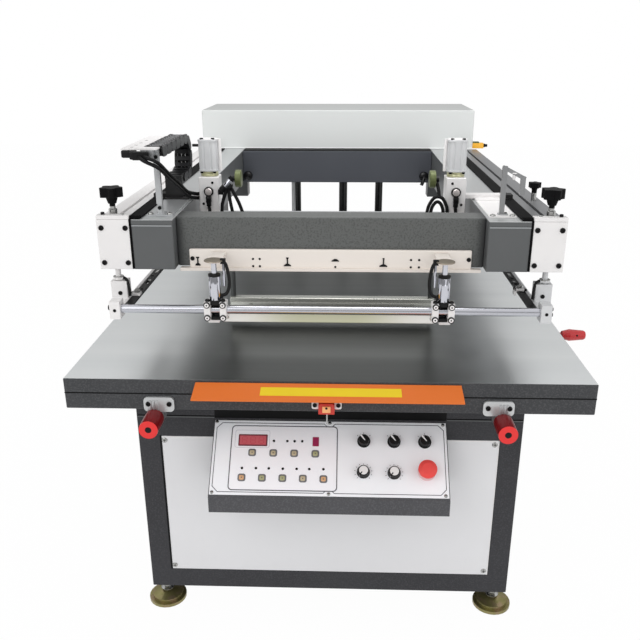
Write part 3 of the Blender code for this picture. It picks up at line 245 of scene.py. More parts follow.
# The knobs' grips: the face's red made darker as painted shade on their sides.
KNOB_RED_SHADED = finish("red_knob_painted_shade", (122, 14, 20), (98, 9, 14), 0.36, 60, 0, 0.12, 420, shine=0.3)
KNOB_FACE = finish("red_knob_face", (228, 56, 54), (216, 46, 46), 0.36, 40, 0, 0.06, shine=0.3)
SIDE_RED = finish("side_knob_red", (202, 36, 40), (184, 28, 32), 0.32, 40, 0, 0.06, coat=0.2)
STOP_RED = finish("stop_red", (232, 82, 78), (226, 74, 70), 0.45, 30, 0, 0.04, shine=0.2)
SWITCH_RED = finish("switch_red", (206, 58, 40), (190, 44, 32), 0.36, 60, 0, 0.06)
SWITCH_CREAM = finish("switch_cream", (246, 186, 128), (240, 170, 108), 0.36, 50, 0, 0.05)
DISPLAY = finish("display_red", (208, 102, 110), (198, 92, 100), 0.2, 30, shine=0.4)
DISPLAY_DARK = finish("display_purple", (166, 50, 88), (146, 40, 78), 0.2, 60, shine=0.4)
BEZEL = finish("display_bezel", (120, 52, 64), (104, 44, 56), 0.35, 60)
BUTTON_GREY = finish("button_grey", (112, 112, 114), (98, 98, 100), 0.42, 90, 0, 0.05)
BUTTON_TAN = finish("button_tan", (196, 182, 150), (184, 168, 136), 0.4, 80, 0, 0.05)
BUTTON_OLIVE = finish("button_olive", (178, 177, 134), (164, 162, 118), 0.4, 80, 0, 0.05)
BUTTON_ORANGE = finish("button_orange", (222, 176, 132), (210, 160, 114), 0.4, 80, 0, 0.05)
WHITE_MARK = finish("white_mark", (240, 240, 240), (232, 232, 232), 0.4, 60)
OLIVE = finish("olive_zinc", (108, 116, 74), (84, 92, 54), 0.36, 60, 0.3, 0.08)
BRASS = finish("brass", (216, 214, 178), (192, 191, 148), 0.3, 60, 0.6, 0.05)
BRONZE = finish("bronze_washer", (176, 166, 152), (140, 130, 116), 0.38, 60, 0.7, 0.06)
VALVE_YELLOW = finish("valve_yellow", (242, 184, 62), (232, 168, 44), 0.36, 50, 0, 0.06)
URETHANE = finish("urethane", (92, 92, 86), (78, 78, 72), 0.34, 24, along="X", shine=0.3)
CHAIN = finish("chain_plastic", (20, 20, 21), (36, 36, 38), 0.34, 70, 0, 0.08, shine=0.4)
# Black that stands in for shade: painted shade in gaps, seams and recesses.
GAP_SHADE_BLACK = finish("painted_gap_shade", (10, 10, 11), (15, 15, 16), 0.6, 40, shine=0.15)
# Light grey line painted as a highlight on the beam ends.
GREY_HIGHLIGHT_LINE = finish("painted_highlight_line", (164, 167, 169), (150, 153, 156), 0.36, 60, 0.2, along="X")
SEGMENT = finish("segment", (200, 80, 94), (194, 74, 88), 0.25, 60)
PALE_INK = finish("pale_ink", (190, 190, 200), (180, 180, 190), 0.4, 60)
COLLAR_PINK = finish("collar_pink", (232, 206, 208), (224, 192, 196), 0.4, 40)
PORT_METAL = finish("port_metal", (226, 218, 216), (204, 196, 194), 0.26, 60, 0.6)
# Light grey for the chain's ribs: a painted highlight on black plastic.
RIB_HIGHLIGHT_GREY = finish("rib_painted_highlight", (186, 186, 188), (150, 150, 152), 0.35, 60)


# Drawing tools

SHARP = 1.0                     # edges that a bevel takes, in radians
SMOOTH = radians(35)            # faces that shade into each other
BEVEL = {"segments": 2, "profile": 0.6, "affect": "EDGES"}
FACING = {"Z": Matrix(),
          "Y": Matrix(((1, 0, 0, 0), (0, 0, -1, 0), (0, 1, 0, 0), (0, 0, 0, 1))),
          "X": Matrix(((0, 0, 1, 0), (1, 0, 0, 0), (0, 1, 0, 0), (0, 0, 0, 1)))}


def place_on(base, axis):
    """Puts the origin at base and Z along the axis."""
    return Matrix.Translation(base) @ Vector(axis).to_track_quat("Z", "Y").to_matrix().to_4x4()


def span(one, other):
    return min(one, other), max(one, other)


def around(middle, half):
    return middle - half, middle + half


def rounded(width, height, radius, steps=4, mid=(0, 0)):
    """Outline of a rectangle with round corners."""
    points = []
    for cx, cy, start in ((1, 1, 0), (-1, 1, 90), (-1, -1, 180), (1, -1, 270)):
        for i in range(steps + 1):
            a = radians(start + 90 * i / steps)
            points.append((cx * (width / 2 - radius) + radius * cos(a) + mid[0],
                           cy * (height / 2 - radius) + radius * sin(a) + mid[1]))
    return points


def hexagon(radius, x, y):
    return [(x + radius * cos(pi / 3 * k), y + radius * sin(pi / 3 * k)) for k in range(6)]


def rays(x, up, degrees, inner, outer):
    """A short line away from a knob's centre."""
    c, s = cos(radians(degrees)), sin(radians(degrees))
    return [(x + inner * c, up + inner * s), (x + outer * c, up + outer * s)]


class Shape:
    """Collects closed forms, in millimetres, that become one piece."""

    def __init__(self, place=TABLE):
        self.whole = bmesh.new()
        self.place = place

    def put(self, part, mat, move=Matrix()):
        bmesh.ops.transform(part, matrix=move, verts=part.verts)
        for face in part.faces:
            face.material_index = mat
        mesh = bpy.data.meshes.new("part")
        part.to_mesh(mesh)
        part.free()
        self.whole.from_mesh(mesh)
        bpy.data.meshes.remove(mesh)

    def skin(self, rings, mat, move=Matrix(), bevel=0):
        """A closed form over rings of points, each joined to the next, the first and the last capped."""
        part = bmesh.new()
        loops = [[part.verts.new(point) for point in ring] for ring in rings]
        for low, high in zip(loops, loops[1:]):
            for i in range(len(low)):
                j = (i + 1) % len(low)
                part.faces.new((low[i], low[j], high[j], high[i]))
        part.faces.new(list(reversed(loops[0])))
        part.faces.new(loops[-1])
        bmesh.ops.recalc_face_normals(part, faces=part.faces)
        if bevel:
            sharp = [edge for edge in part.edges if edge.calc_face_angle(0.0) > SHARP]
            bmesh.ops.bevel(part, geom=sharp, offset=bevel, **BEVEL)
        self.put(part, mat, move)

    def block(self, x, y, z, mat=0, bevel=0.4):
        """A box between two values on each axis, its edges rounded."""
        part = bmesh.new()
        bmesh.ops.create_cube(part, size=1.0)
        bmesh.ops.scale(part, vec=Vector((x[1] - x[0], y[1] - y[0], z[1] - z[0])), verts=part.verts)
        if bevel:
            bmesh.ops.bevel(part, geom=part.edges, offset=bevel, **BEVEL)
        self.put(part, mat, Matrix.Translation(((x[0] + x[1]) / 2, (y[0] + y[1]) / 2, (z[0] + z[1]) / 2)))

    def turned(self, base, axis, profile, mat=0, steps=28, flutes=0, deep=0):
        """A form turned about an axis: profile is (radius, height) along it; flutes cut grooves down it."""
        rings = []
        for radius, height in profile:
            ring = []
            for i in range(steps):
                a = 2 * pi * i / steps
                r = radius - deep * (0.5 - 0.5 * cos(flutes * a))
                ring.append((r * cos(a), r * sin(a), height))
            rings.append(ring)
        self.skin(rings, mat, place_on(base, axis))

    def screw(self, base, axis, radius, height, mat=0):
        """A cap screw: a rounded head with a hexagonal socket."""
        rings = []
        inner = radius * 0.48
        for r, h, hexed in ((radius, 0, 0), (radius, height * 0.7, 0), (radius * 0.86, height, 0),
                            (inner, height, 1), (inner * 0.9, height * 0.35, 1)):
            ring = []
            for i in range(24):
                a = 2 * pi * i / 24
                k = r / cos((a % (pi / 3)) - pi / 6) * cos(pi / 6) if hexed else r
                ring.append((k * cos(a), k * sin(a), h))
            rings.append(ring)
        self.skin(rings, mat, place_on(base, axis))

    def plate(self, outline, low, high, mat=0, bevel=0, facing="Z", middle=(0, 0, 0)):
        """An outline given a thickness along the axis that it faces."""
        rings = [[(u, v, w) for u, v in outline] for w in (low, high)]
        self.skin(rings, mat, Matrix.Translation(middle) @ FACING[facing], bevel)

    def tube(self, points, radius, mat=0, sides=12, steps=6):
        """A round tube through the points, on a smooth curve."""
        route = [Vector(p) for p in points]
        ends = [route[0] * 2 - route[1], *route, route[-1] * 2 - route[-2]]
        line = []
        for a, b, c, d in zip(ends, ends[1:], ends[2:], ends[3:]):
            for i in range(steps):
                t = i / steps
                line.append((b * 2 + (c - a) * t + (a * 2 - b * 5 + c * 4 - d) * t * t
                             + (b * 3 - a - c * 3 + d) * t ** 3) / 2)
        line.append(route[-1])
        angles = [2 * pi * i / sides for i in range(sides)]
        across = (line[1] - line[0]).normalized().orthogonal().normalized()
        rings = []
        for k, point in enumerate(line):
            ahead = (line[min(k + 1, len(line) - 1)] - line[max(k - 1, 0)]).normalized()
            across = (across - ahead * across.dot(ahead)).normalized()
            other = ahead.cross(across)
            rings.append([point + across * radius * cos(a) + other * radius * sin(a) for a in angles])
        self.skin(rings, mat)

    def line(self, points, width, low, high, mat=0, closed=True):
        """A raised line of one width along the points, on the plane facing Z."""
        count = len(points)
        last = count if closed else count - 1
        left, right = [], []
        for k, point in enumerate(points):
            here = Vector(point)
            before = Vector(points[k - 1]) if closed or k else here * 2 - Vector(points[k + 1])
            after = Vector(points[(k + 1) % count]) if closed or k < count - 1 else here * 2 - before
            a, b = (here - before).normalized(), (after - here).normalized()
            side = Vector((-(a + b).y, (a + b).x)).normalized()
            reach = width / 2 / max(side.dot(Vector((-a.y, a.x))), 0.3)
            left.append(here + side * reach)
            right.append(here - side * reach)
        part = bmesh.new()
        rows = [[part.verts.new((*p, w)) for p in edge] for edge, w in
                ((left, low), (left, high), (right, high), (right, low))]
        for k in range(last):
            n = (k + 1) % count
            for a, b in zip(rows, rows[1:] + rows[:1]):
                part.faces.new((a[k], a[n], b[n], b[k]))
        if not closed:
            part.faces.new([row[0] for row in rows])
            part.faces.new([row[-1] for row in reversed(rows)])
        bmesh.ops.recalc_face_normals(part, faces=part.faces)
        self.put(part, mat)

    def done(self, name, body, *mats):
        """The piece of that name, on its body."""
        mesh = bpy.data.meshes.new(name)
        bmesh.ops.transform(self.whole, matrix=self.place, verts=self.whole.verts)
        self.whole.to_mesh(mesh)
        self.whole.free()
        for mat in mats:
            mesh.materials.append(mat)
        mesh.shade_smooth()
        mesh.set_sharp_from_angle(angle=SMOOTH)
        piece = bpy.data.objects.new(name, mesh)
        scene.collection.objects.link(piece)
        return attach(piece, body)


# Finishes of the solids: by node, and by set of nodes whose names differ in the last letter

# The knobs: painted shade on the grip, the plain red on the face.
KNOBS = zone("knob_zones", KNOB_RED_SHADED, KNOB_FACE, "Y", -0.0622, True)
PADS = zone("pad_zones", MID_STEEL, BELT, "Z", 0.3074)
FOOT = zone("foot_zones", PADS, BLACK, "Z", 0.3165)
NODE_FINISH = {
    "table_top": zone("bed_zones", HAMMER, BED_STEEL_PAINTED_REFLECTION, "Z", -0.0001),
    "table_frame": HAMMER, "cabinet": POST_PAINT, "front_panel": LIGHT_PANEL, "rear_posts": GLOSS_BLACK,
    "control_box": BOX_PAINT, "control_face": PANEL_WHITE,
    "stop_button": STOP_RED, "safety_strip": ORANGE, "strip_switch": SWITCH_RED, "adjust_knob_side": SIDE_RED,
    "slot_rail_l": WHITE_METAL, "slot_rail_r": RAIL_GREY, "front_beam": BEAM_PAINT_SHADED_ENDS, "rear_beam": SLATE,
    "front_plate": CREAM, "hood": zone("hood_zones", HOOD_GREY, HOOD_TOP_SHADED, "Z", 0.4355),
    "star_knob_rear": zone("star_zones_rear", NUT_METAL, STAR_BLACK, "Z", 0.322),
    "frame_arm_l": WHITE_METAL, "frame_arm_r": SILVER, "cross_rod": ROD, "front_bar": BAR_FACE,
    "carriage_bar": ALUMINIUM, "cylinder_l": zone("cylinder_zones", FOOT, WHITE_METAL, "X", -0.334),
    "cylinder_r": zone("cylinder_zones_r", PADS, WHITE_METAL, "X", 0.398, True),
    "squeegee": zone("squeegee_zones", BAR_METAL, RUNNER, "Z", 0.0606), "squeegee_blade": URETHANE,
    "energy_chain": CHAIN, "chain_mast": zone("mast_zones", MID_STEEL, WHITE_METAL, "Z", 0.4429),
    "chain_cables": RUBBER, "sensor_bracket": BRACKET,
}
SET_FINISH = {
    "selector_": BLACK, "dial_": BLACK, "foot_f": ZINC, "foot_b": ZINC, "column_": HAMMER, "bracket_": ALUMINIUM,
    "adjust_knob_": KNOBS, "end_plate_": WHITE_METAL, "belt_": BELT,
    "side_beam_": zone("beam_zones", HAMMER_FRONT, BEAM_STEEL, "Z", 0.3031),
    "star_knob_": zone("star_zones", NUT_METAL, STAR_BLACK, "Z", 0.326),
    "slot_bar_": BLACK, "front_lift_": zone("lift_zones", CHROME, CREAM, "Z", 0.2272), "air_fittings_": RUBBER,
}
for name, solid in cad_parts.items():
    mat = NODE_FINISH.get(name) or SET_FINISH[name[:-1]]
    if not solid.material_slots:
        solid.data.materials.append(mat)
    for entry in solid.material_slots:
        entry.material = mat

# Control panel: border line with cut corners and notches, screws, membrane, displays, buttons and lamps
OUT = 3.3                           # the panel's face
BORDER_X, BORDER_UP = 250.5, 78     # half sizes of the border line
BORDER_MID = 3
CORNER = 12
NOTCH, NOTCH_FLOOR, NOTCH_DEEP = 12, 5, 7
MEMBRANE_MID = (-96.5, -1)
DISPLAY_MID = (-165.5, 38)
DIGIT_X, DIGIT_STEP = -184, 18.5
border = []
for sx, su in ((-1, 1), (1, 1), (1, -1), (-1, -1)):
    edge, floor = su * BORDER_UP, su * (BORDER_UP - NOTCH_DEEP)
    corner = [(sx * BORDER_X, su * (BORDER_UP - CORNER)), (sx * (BORDER_X - CORNER), edge)]
    notch = [(-NOTCH, edge), (-NOTCH_FLOOR, floor), (NOTCH_FLOOR, floor), (NOTCH, edge)]
    border += corner if sx * su < 0 else corner[::-1]
    if su == 1 and sx == -1:
        border += notch
    if su == -1 and sx == 1:
        border += notch[::-1]
border = [(x + BORDER_MID, up) for x, up in border]
form = Shape(FACE)
form.line(border, 1.5, OUT, OUT + 0.25)
form.done("panel_border", "base", INK)

form = Shape(FACE)
for x, up in ((-248.5, 80), (3, 80), (252.5, 79), (-247, -79.5), (3, -79.5), (251.5, -79.5)):
    form.turned((x, up, OUT), UP, ((3.9, 0), (3.8, 0.8), (2.8, 1.7), (1.2, 2)), 0, 20)
    for u, v in ((2.4, 0.45), (0.45, 2.4)):
        form.block(around(x, u), around(up, v), (OUT + 1.6, OUT + 2.15), 1, 0)
form.done("panel_screws", "base", NUT_METAL, SOCKET)

form = Shape(FACE)
form.plate(rounded(235, 147, 9, 5, MEMBRANE_MID), OUT, OUT + 0.35)
form.plate(rounded(230.6, 142.6, 7.2, 5, MEMBRANE_MID), OUT, OUT + 0.55, 1)
form.done("membrane", "base", INK, MEMBRANE)

form = Shape(FACE)
form.plate(rounded(64, 27, 2, 3, DISPLAY_MID), OUT + 0.5, OUT + 0.9)
form.plate(rounded(58, 20.5, 1.2, 3, DISPLAY_MID), OUT + 0.5, OUT + 1.3, 1)
form.plate(rounded(14, 21, 1, 3, (-27.2, 36.5)), OUT + 0.5, OUT + 1.3, 2)
form.done("displays", "base", BEZEL, DISPLAY, DISPLAY_DARK)
form = Shape(FACE)
for x in [DIGIT_X + DIGIT_STEP * k for k in range(3)]:
    for up in (30.5, 38, 45.5):
        form.plate(rounded(8, 1.1, 0.5, 2, (x, up)), OUT + 1.2, OUT + 1.42)
    for dx in (-5.2, 5.2):
        for up in (34.2, 41.8):
            form.plate(rounded(1.1, 6, 0.5, 2, (x + dx, up)), OUT + 1.2, OUT + 1.42)
form.done("display_segments", "base", SEGMENT)
form = Shape(FACE)
form.line(rounded(76, 40, 5, 4, (-167, 41)), 0.7, OUT + 0.5, OUT + 0.7)
form.done("display_frame", "base", PALE_INK)

BUTTONS = ((-165.8, 9.8, 1), (-119.5, 9.4, 1), (-73.8, 9.2, 1), (-27.6, 8.9, 2),
           (-185.3, -46.4, 3), (-141.2, -46.6, 2), (-97, -46.6, 2), (-53, -46.8, 1), (-8.7, -47.2, 3))
form = Shape(FACE)
for x, up, mat in BUTTONS:
    form.plate(rounded(17, 17, 4.8, 4, (x, up)), OUT + 0.5, OUT + 1.2, 0, 0.3)
    form.plate(rounded(10.4, 10.4, 3.2, 4, (x, up)), OUT + 0.5, OUT + 1.8, mat, 0.3)
    form.turned((x, up, OUT + 1.7), UP, ((1.3, 0), (1.3, 0.3), (0.8, 0.45)), 4, 12)
form.done("membrane_keys", "base", BUTTON_GREY, BUTTON_TAN, BUTTON_OLIVE, BUTTON_ORANGE, INK)
form = Shape(FACE)
for x, up in ((-119.4, 37), (-89.8, 36.8), (-73.7, 36.8), (-57, 37), (-185.7, -25.5), (-155.3, -25.3),
              (-127.5, -25.4), (-96.9, -25.6), (-67, -25.6), (-39.7, -25.5), (-9.2, -25.4)):
    form.turned((x, up, OUT + 0.5), UP, ((2.9, 0), (2.9, 0.5), (2.2, 1.1), (1, 1.4)), 0, 16)
form.done("signal_lamps", "base", GLOSS_BLACK)

# Knobs on the panel: rings with marks, pointers and caps
SELECTORS = ((78, 39), (144, 39), (211, 39))
DIALS = ((77, -30), (143, -31))
STOP = (213, -28)
SELECTOR_TURN, DIAL_TURN = 128, 232     # where they point, in degrees
POINTER = ((-3.4, -12.6), (3.4, -12.6), (4.4, -4), (3.6, 10), (1.4, 13.4), (-1.4, 13.4), (-3.6, 10), (-4.4, -4))
POINTER_MARK = ((-0.7, -4), (0.7, -4), (2.2, 12.6), (-2.2, 12.6))
form = Shape(FACE)
for x, up in DIALS:
    for k in range(11):
        form.line(rays(x, up, 225 - 27 * k, 17, 19.6), 0.9, OUT, OUT + 0.2, closed=False)
for x, up in SELECTORS:
    for k in (-1, 0, 1):
        form.line(rays(x, up, 90 + 45 * k, 17.5, 20.5), 1, OUT, OUT + 0.2, closed=False)
form.done("panel_marks", "base", INK)
form = Shape(FACE)
form.turned((*STOP, OUT), UP, ((19.5, 0), (19.5, 1), (17.5, 1.8), (11, 1.9), (11, 17), (9, 17.5)), 0, 36)
form.done("stop_collar", "base", COLLAR_PINK)
for index, (x, up) in enumerate(SELECTORS):
    form = Shape(FACE)
    turn = Matrix.Rotation(radians(SELECTOR_TURN) - pi / 2, 4, "Z")
    form.turned((x, up, OUT + 0.3), UP, ((14.4, 0), (14.4, 1.6), (13.4, 2.6), (12.4, 2.8)), 0, 40, 20, 0.5)
    for outline, low, high, mat, bevel in ((POINTER, 5, 21.5, 0, 0.8), (POINTER_MARK, 20.5, 22, 1, 0)):
        spun = [turn @ Vector((u, v, 0)) for u, v in outline]
        form.plate([(x + p.x, up + p.y) for p in spun], low, high, mat, bevel)
    form.done(f"selector_grip_{index + 1}", f"selector_body_{index + 1}", BLACK, WHITE_MARK)
for index, (x, up) in enumerate(DIALS):
    form = Shape(FACE)
    form.turned((x, up, OUT + 0.3), UP, ((14.6, 0), (14.6, 1.4), (14, 3), (12.6, 8), (12, 14), (11, 14.8)),
                0, 48, 24, 0.7)
    form.turned((x, up, 17), UP, ((9.6, 0), (9.6, 2), (9, 2.8), (6.5, 2.9), (2, 2.7)), 1, 32)
    form.line(rays(x, up, DIAL_TURN, 5, 14.2), 2.4, 4, 20.3, 2, closed=False)
    form.done(f"dial_cap_{index + 1}", f"dial_body_{index + 1}", BLACK, WHITE_METAL, GLOSS_BLACK)

# Cabinet: a black plate above the control box as painted shade in the recess there, screws of the front panel, strips
# at its edges as painted shade and painted highlights, panels on the other sides
form = Shape()
# A black plate of painted shade in the recess above the control box.
form.block((-255, 261), (93, 94.9), (-133.5, -69.2), 0, 0.3)
form.done("box_recess_shade", "base", GAP_SHADE_BLACK)
form = Shape()
for x in (-373, 373):
    for z in (-193, -536):
        form.turned((x, 95.2, z), FRONT, ((6.5, 0), (6.4, 1), (4.8, 2.4), (2, 3)), 0, 24)
        for u, v in ((3.4, 0.6), (0.6, 3.4)):
            form.block(around(x, u), (92, 92.7), around(z, v), 1, 0)
form.done("front_panel_screws", "base", NUT_METAL, SOCKET)
form = Shape()
# Painted shade: a black strip in the gap between the left post and the panel.
form.block((-383.6, -379.2), (94.3, 95.6), (-547, -181), 0, 0.2)
# Painted highlights: white lines along the panel's top and right edges.
form.block((-379.2, 382.4), (94.5, 95.6), (-185.6, -183.4), 1, 0.3)
form.block((380.4, 382.6), (94.5, 95.6), (-547, -183.4), 1, 0.3)
# At the seam under the table frame: a black line of painted shade, and under it a lighter line as a painted highlight.
for low, high in ((-431, -256), (262, 431)):
    form.block((low, high), (94.2, 95.6), (-132, -129.4), 0, 0.2)
    form.block((low, high), (94.2, 95.6), (-134.6, -132), 2, 0.2)
form.done("cabinet_edge_shade_and_highlights", "base", GAP_SHADE_BLACK, WHITE_METAL, HAMMER_FRONT)
BACK_Y = 1520
PANEL_Z, PANEL_H = -365.5, 362
form = Shape()
form.plate(rounded(764, PANEL_H, 3, 3, (0, PANEL_Z)), -2.2, 0, 0, 0.5, "Y", (0, BACK_Y - 3, 0))
for sign in (-1, 1):
    form.plate(rounded(1322, PANEL_H, 3, 3, (807.5, PANEL_Z)), -1.1, 1.1, 0, 0.5, "X", (sign * 430.4, 0, 0))
    for y in (160, 807, 1455):
        for z in (-196, -535):
            form.turned((sign * 431.2, y, z), (sign, 0, 0), ((6, 0), (5.9, 0.6), (4.4, 1.4), (1.6, 1.7)), 1, 20)
form.done("closing_panels", "base", LIGHT_PANEL, NUT_METAL)
form = Shape()
for x in (-368, 368):
    for z in (-198, -532):
        form.turned((x, BACK_Y - 1, z), BACK, ((6, 0), (5.9, 0.8), (4.4, 1.8), (1.6, 2.2)), 0, 20)
form.done("back_screws", "base", NUT_METAL)

# Feet: hexagonal nuts under the cabinet
form = Shape()
for x in (-407.5, 407.5):
    for y in (135, 1480):
        form.plate(hexagon(17.5, x, y), -611.5, -599.6, 0, 1)
        form.turned((x, y, -634), UP, ((16, 0), (16, 2.5), (12, 5), (8.6, 6), (8.6, 23)))
form.done("foot_nuts", "base", NUT_METAL)

# Safety strip: bare yellow film, and the switch under it
STRIP_TILT = atan2(13, 58)     # fall over width of the strip
SWITCH_X, SWITCH_Z = -2, -50
STRIP = TABLE @ Matrix.Translation((0, -29.96, -12)) @ Matrix.Rotation(STRIP_TILT, 4, "X")
form = Shape(STRIP)
form.plate(rounded(285.6, 27.4, 1.2, 3, (6.8, 1.2)), 1.4, 1.85)
form.done("bare_label", "base", YELLOW)
form = Shape()
for sign in (-1, 1):
    form.plate(rounded(15, 18, 3.5, 4, (SWITCH_X + sign * 23.5, SWITCH_Z)), 5.9, 7.3, 0, 0.3, "Y")
    form.screw((SWITCH_X + sign * 24.5, -7.3, SWITCH_Z), FRONT, 4.6, 3, 1)
form.block((-18.5, 14.5), (-26.4, -6), (-62, -40), 2, 1)
form.block((-10.5, 6.5), (-29.5, -25.8), (-57, -43), 3, 1.4)
form.turned((SWITCH_X, -29.3, -46.5), FRONT, ((2.6, 0), (2.4, 0.9), (1, 1.2)), 1, 16)
form.turned((-1, -22, -60), DOWN, ((1.6, 0), (1.6, 24), (1, 25)), 4, 12)
form.done("switch_trim", "base", WHITE_METAL, SOCKET, SWITCH_RED, SWITCH_CREAM, NUT_METAL)
form = Shape()
# A black line of painted shade in the seam between the bed's upper and lower slabs.
form.block((-550.05, 550.05), (-0.05, 1249.9), (-33.6, -31), 0, 0)
form.done("bed_seam_shade", "base", GAP_SHADE_BLACK)

# Front knobs: bearing flanges with bolts, fluted grips in a darker red as painted shade, and faces in the knob's
# bright red
KNOB_X, FLANGE_X = 362.5, 351.5
KNOB_Z = -84
KNOB_BODIES = {"l": "knob_left", "r": "knob_right"}
BOLT_Z = -52.5
for letter, sign in SIDES:
    x = sign * KNOB_X
    form = Shape()
    form.plate(rounded(64, 33, 9, 5, (sign * FLANGE_X, -54)), 0.4, 6.8, 0, 0.6, "Y")
    for dx in (-22, 22):
        form.turned((sign * FLANGE_X + dx, -6.6, BOLT_Z), FRONT, ((7.2, 0), (7, 0.5), (5, 0.6)), 0, 24)
        form.screw((sign * FLANGE_X + dx, -7, BOLT_Z), FRONT, 5.2, 3.6, 1)
    for dx in (-7, 0, 7):
        form.block(around(x + dx, 2.6), (-8.6, -5), (-69, -44), 2, 1.2)
    form.block(around(x, 15), (-4.4, 36), (-100, -68.8), 2, 2)
    form.turned((x, -4, KNOB_Z), FRONT, ((11, 0), (11, 3.2), (9, 4)))
    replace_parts(form.done("flange_" + letter, "base", FLANGE, SOCKET, MID_STEEL), "bracket_" + letter)
    form = Shape()
    form.turned((x, -8, KNOB_Z), FRONT, ((17.5, 0), (19.9, 1.2), (20, 50), (19.7, 53.2), (19.3, 54.4)), 0, 72, 24, 0.5)
    form.turned((x, -60, KNOB_Z), FRONT, ((19.4, 0), (19.3, 2), (18.6, 3), (17.6, 3.4), (8.6, 3.4)), 1, 48)
    form.turned((x, -62.7, KNOB_Z), FRONT, ((6.8, 0), (6.8, 0.8), (6.2, 0.9)), 2, 32)
    form.done("knob_grip_" + letter, KNOB_BODIES[letter], KNOB_RED_SHADED, KNOB_FACE, SOCKET)
form = Shape()
form.turned((596, 317.7, -13), FRONT, ((2.4, 0), (2.4, 1), (1.6, 1.4)), 0, 16)
form.done("side_knob_screw", "knob_side", SOCKET)

# Head: raised bands on the beam ends with a light line under each as a painted highlight, black ends between beams and
# rails, screws and caps on the end plates
for letter, sign in SIDES:
    form = Shape()
    low, high = span(sign * 329.6, sign * 417.4)
    form.block((low, high), (134.1, 136), (294.6, 303.2), 0, 0.5)
    # A light grey line under the band, a painted highlight.
    form.block((low + 1, high - 1), (134, 136), (290.2, 292.6), 1, 0.5)
    form.done("beam_band_highlight_" + letter, "head", HAMMER_FRONT, GREY_HIGHLIGHT_LINE)
    form = Shape()
    form.block(around(sign * 418.2, 2.6), (133.6, 136.4), (198, 305), 0, 0.8)
    form.turned((sign * 412 - 13.5, 148, 303), (1, 0, 0), ((1, 0), (8, 0.4), (8, 26.6), (1, 27)))
    form.done("belt_end_" + letter, "head", BELT)
    form = Shape()
    for x in (429, 480):
        for z in (211.5, 286.5):
            form.turned((sign * x, 135.2, z), FRONT, ((7, 0), (6.8, 0.4), (5.8, 0.5)))
            form.screw((sign * x, 135, z), FRONT, 5.6, 3, 1)
    form.done("end_plate_screws_" + letter, "head", WHITE_METAL, SOCKET)
    form = Shape()
    form.block(span(sign * 421, sign * 489.6), (135, 157), (304.4, 312.5), 0, 0.8)
    form.turned((sign * 462, 170, 304.4), UP,
                ((13, 0), (13, 2.4), (12, 3), (9, 3.1), (9, 15.5), (8, 16.4), (6.4, 16.5)), 1)
    form.screw((sign * 478, 148, 312.5), UP, 4.2, 5, 2)
    form.screw((sign * 436, 147, 312.5), UP, 3.4, 2.6, 1)
    form.done("rail_cap_" + letter, "head", WHITE_METAL, NUT_METAL, SOCKET)

# Front plate: end screws, pairs of holes and small slotted brackets
form = Shape()
for x, z in ((-295.5, 216), (296, 217)):
    form.screw((x, 157.8, z), FRONT, 4.6, 2.6)
for x in (-165, -150.5, 173.5, 191):
    for z in (215.5, 199.5):
        form.turned((x, 158, z), FRONT, ((2.6, 0), (2.4, 0.5), (1, 0.6)), 0, 16)
for x, foot, top in ((-284.5, 5.5, 3.5), (-90.9, 7.5, 2.6), (115, 8.5, 2)):
    form.block(around(x, 1.4), (156.4, 158.2), (202, 219), 0, 0.3)
    form.block(around(x, top), (156.6, 158.2), (216.5, 219.5))
    form.plate([(x - foot, 200.4), (x + foot, 200.4), (x + foot, 202.4), (x + 2, 206), (x - 2, 206),
                (x - foot, 202.4)], -158.2, -156.2, facing="Y")
form.plate([(4, 211.5), (20, 211.5), (20, 212.8), (14.5, 216.8), (9.5, 216.8), (4, 212.8)], -158.2, -156.4, facing="Y")
form.turned((12, 158, 199), FRONT, ((2.4, 0), (2.2, 0.6), (1, 0.8)), 0, 16)
form.done("plate_fittings", "head", SOCKET)

# Hood: white return edge as a painted highlight, black strips under it as painted shade in the gap over the beams,
# side valve and stub, screws at the sides and the back
form = Shape()
# A thin strip on the return edge, white as a painted highlight.
form.block((-475, 475), (1330.9, 1333), (304.8, 309.6))
# Black strips of painted shade in the gap between the hood and the beams.
form.block((-326, 326), (1269, 1331), (303.4, 306.4), 1, 0.3)
form.block((-474, -420), (1329.6, 1331.2), (298.5, 304.2), 1, 0.3)
form.done("hood_edge", "head", HOOD_EDGE_HIGHLIGHT, GAP_SHADE_BLACK)
form = Shape()
form.block((476.2, 516), (1338, 1362), (306, 324), 0, 1.5)
form.turned((515.5, 1350, 315), (1, 0, 0), ((6.5, 0), (6.5, 6), (5, 7), (5, 14), (4, 15)), 1, 20)
form.block((478, 500), (1340, 1358), (324, 328.5), 2, 0.8)
form.done("air_valve", "head", VALVE_YELLOW, SOCKET, OLIVE)
form = Shape()
form.turned((-475.8, 1345, 314), (-1, 0, 0), ((7.5, 0), (7.5, 5), (5, 6), (5, 42), (4.2, 43)), 0, 20)
form.done("hood_stub", "head", BLACK)
form = Shape()
for sign in (-1, 1):
    for y in (1352, 1632):
        for z in (318 if sign < 0 else 340, 420):
            form.turned((sign * 475.8, y, z), (sign, 0, 0), ((5.5, 0), (5.4, 1), (4, 2.2), (1.6, 2.6)), 0, 20)
for x in (-440, 0, 440):
    for z in (320, 420):
        form.turned((x, 1651.7, z), BACK, ((5.5, 0), (5.4, 0.4), (1.6, 0.5)), 0, 20)
form.done("hood_screws", "head", NUT_METAL)

# Rear beam: round black plugs at its lower corners
form = Shape()
for x, z in ((-310, 222), (302, 222)):
    form.turned((x, 1267.2, z), FRONT, ((13, 0), (13, 3), (9, 4), (9, 11), (15, 12), (16, 18), (13, 24), (6, 27)))
form.tube([(304, 1246, 220), (300, 1242, 206), (294, 1240, 192)], 6)
form.done("beam_plugs", "head", GLOSS_BLACK)

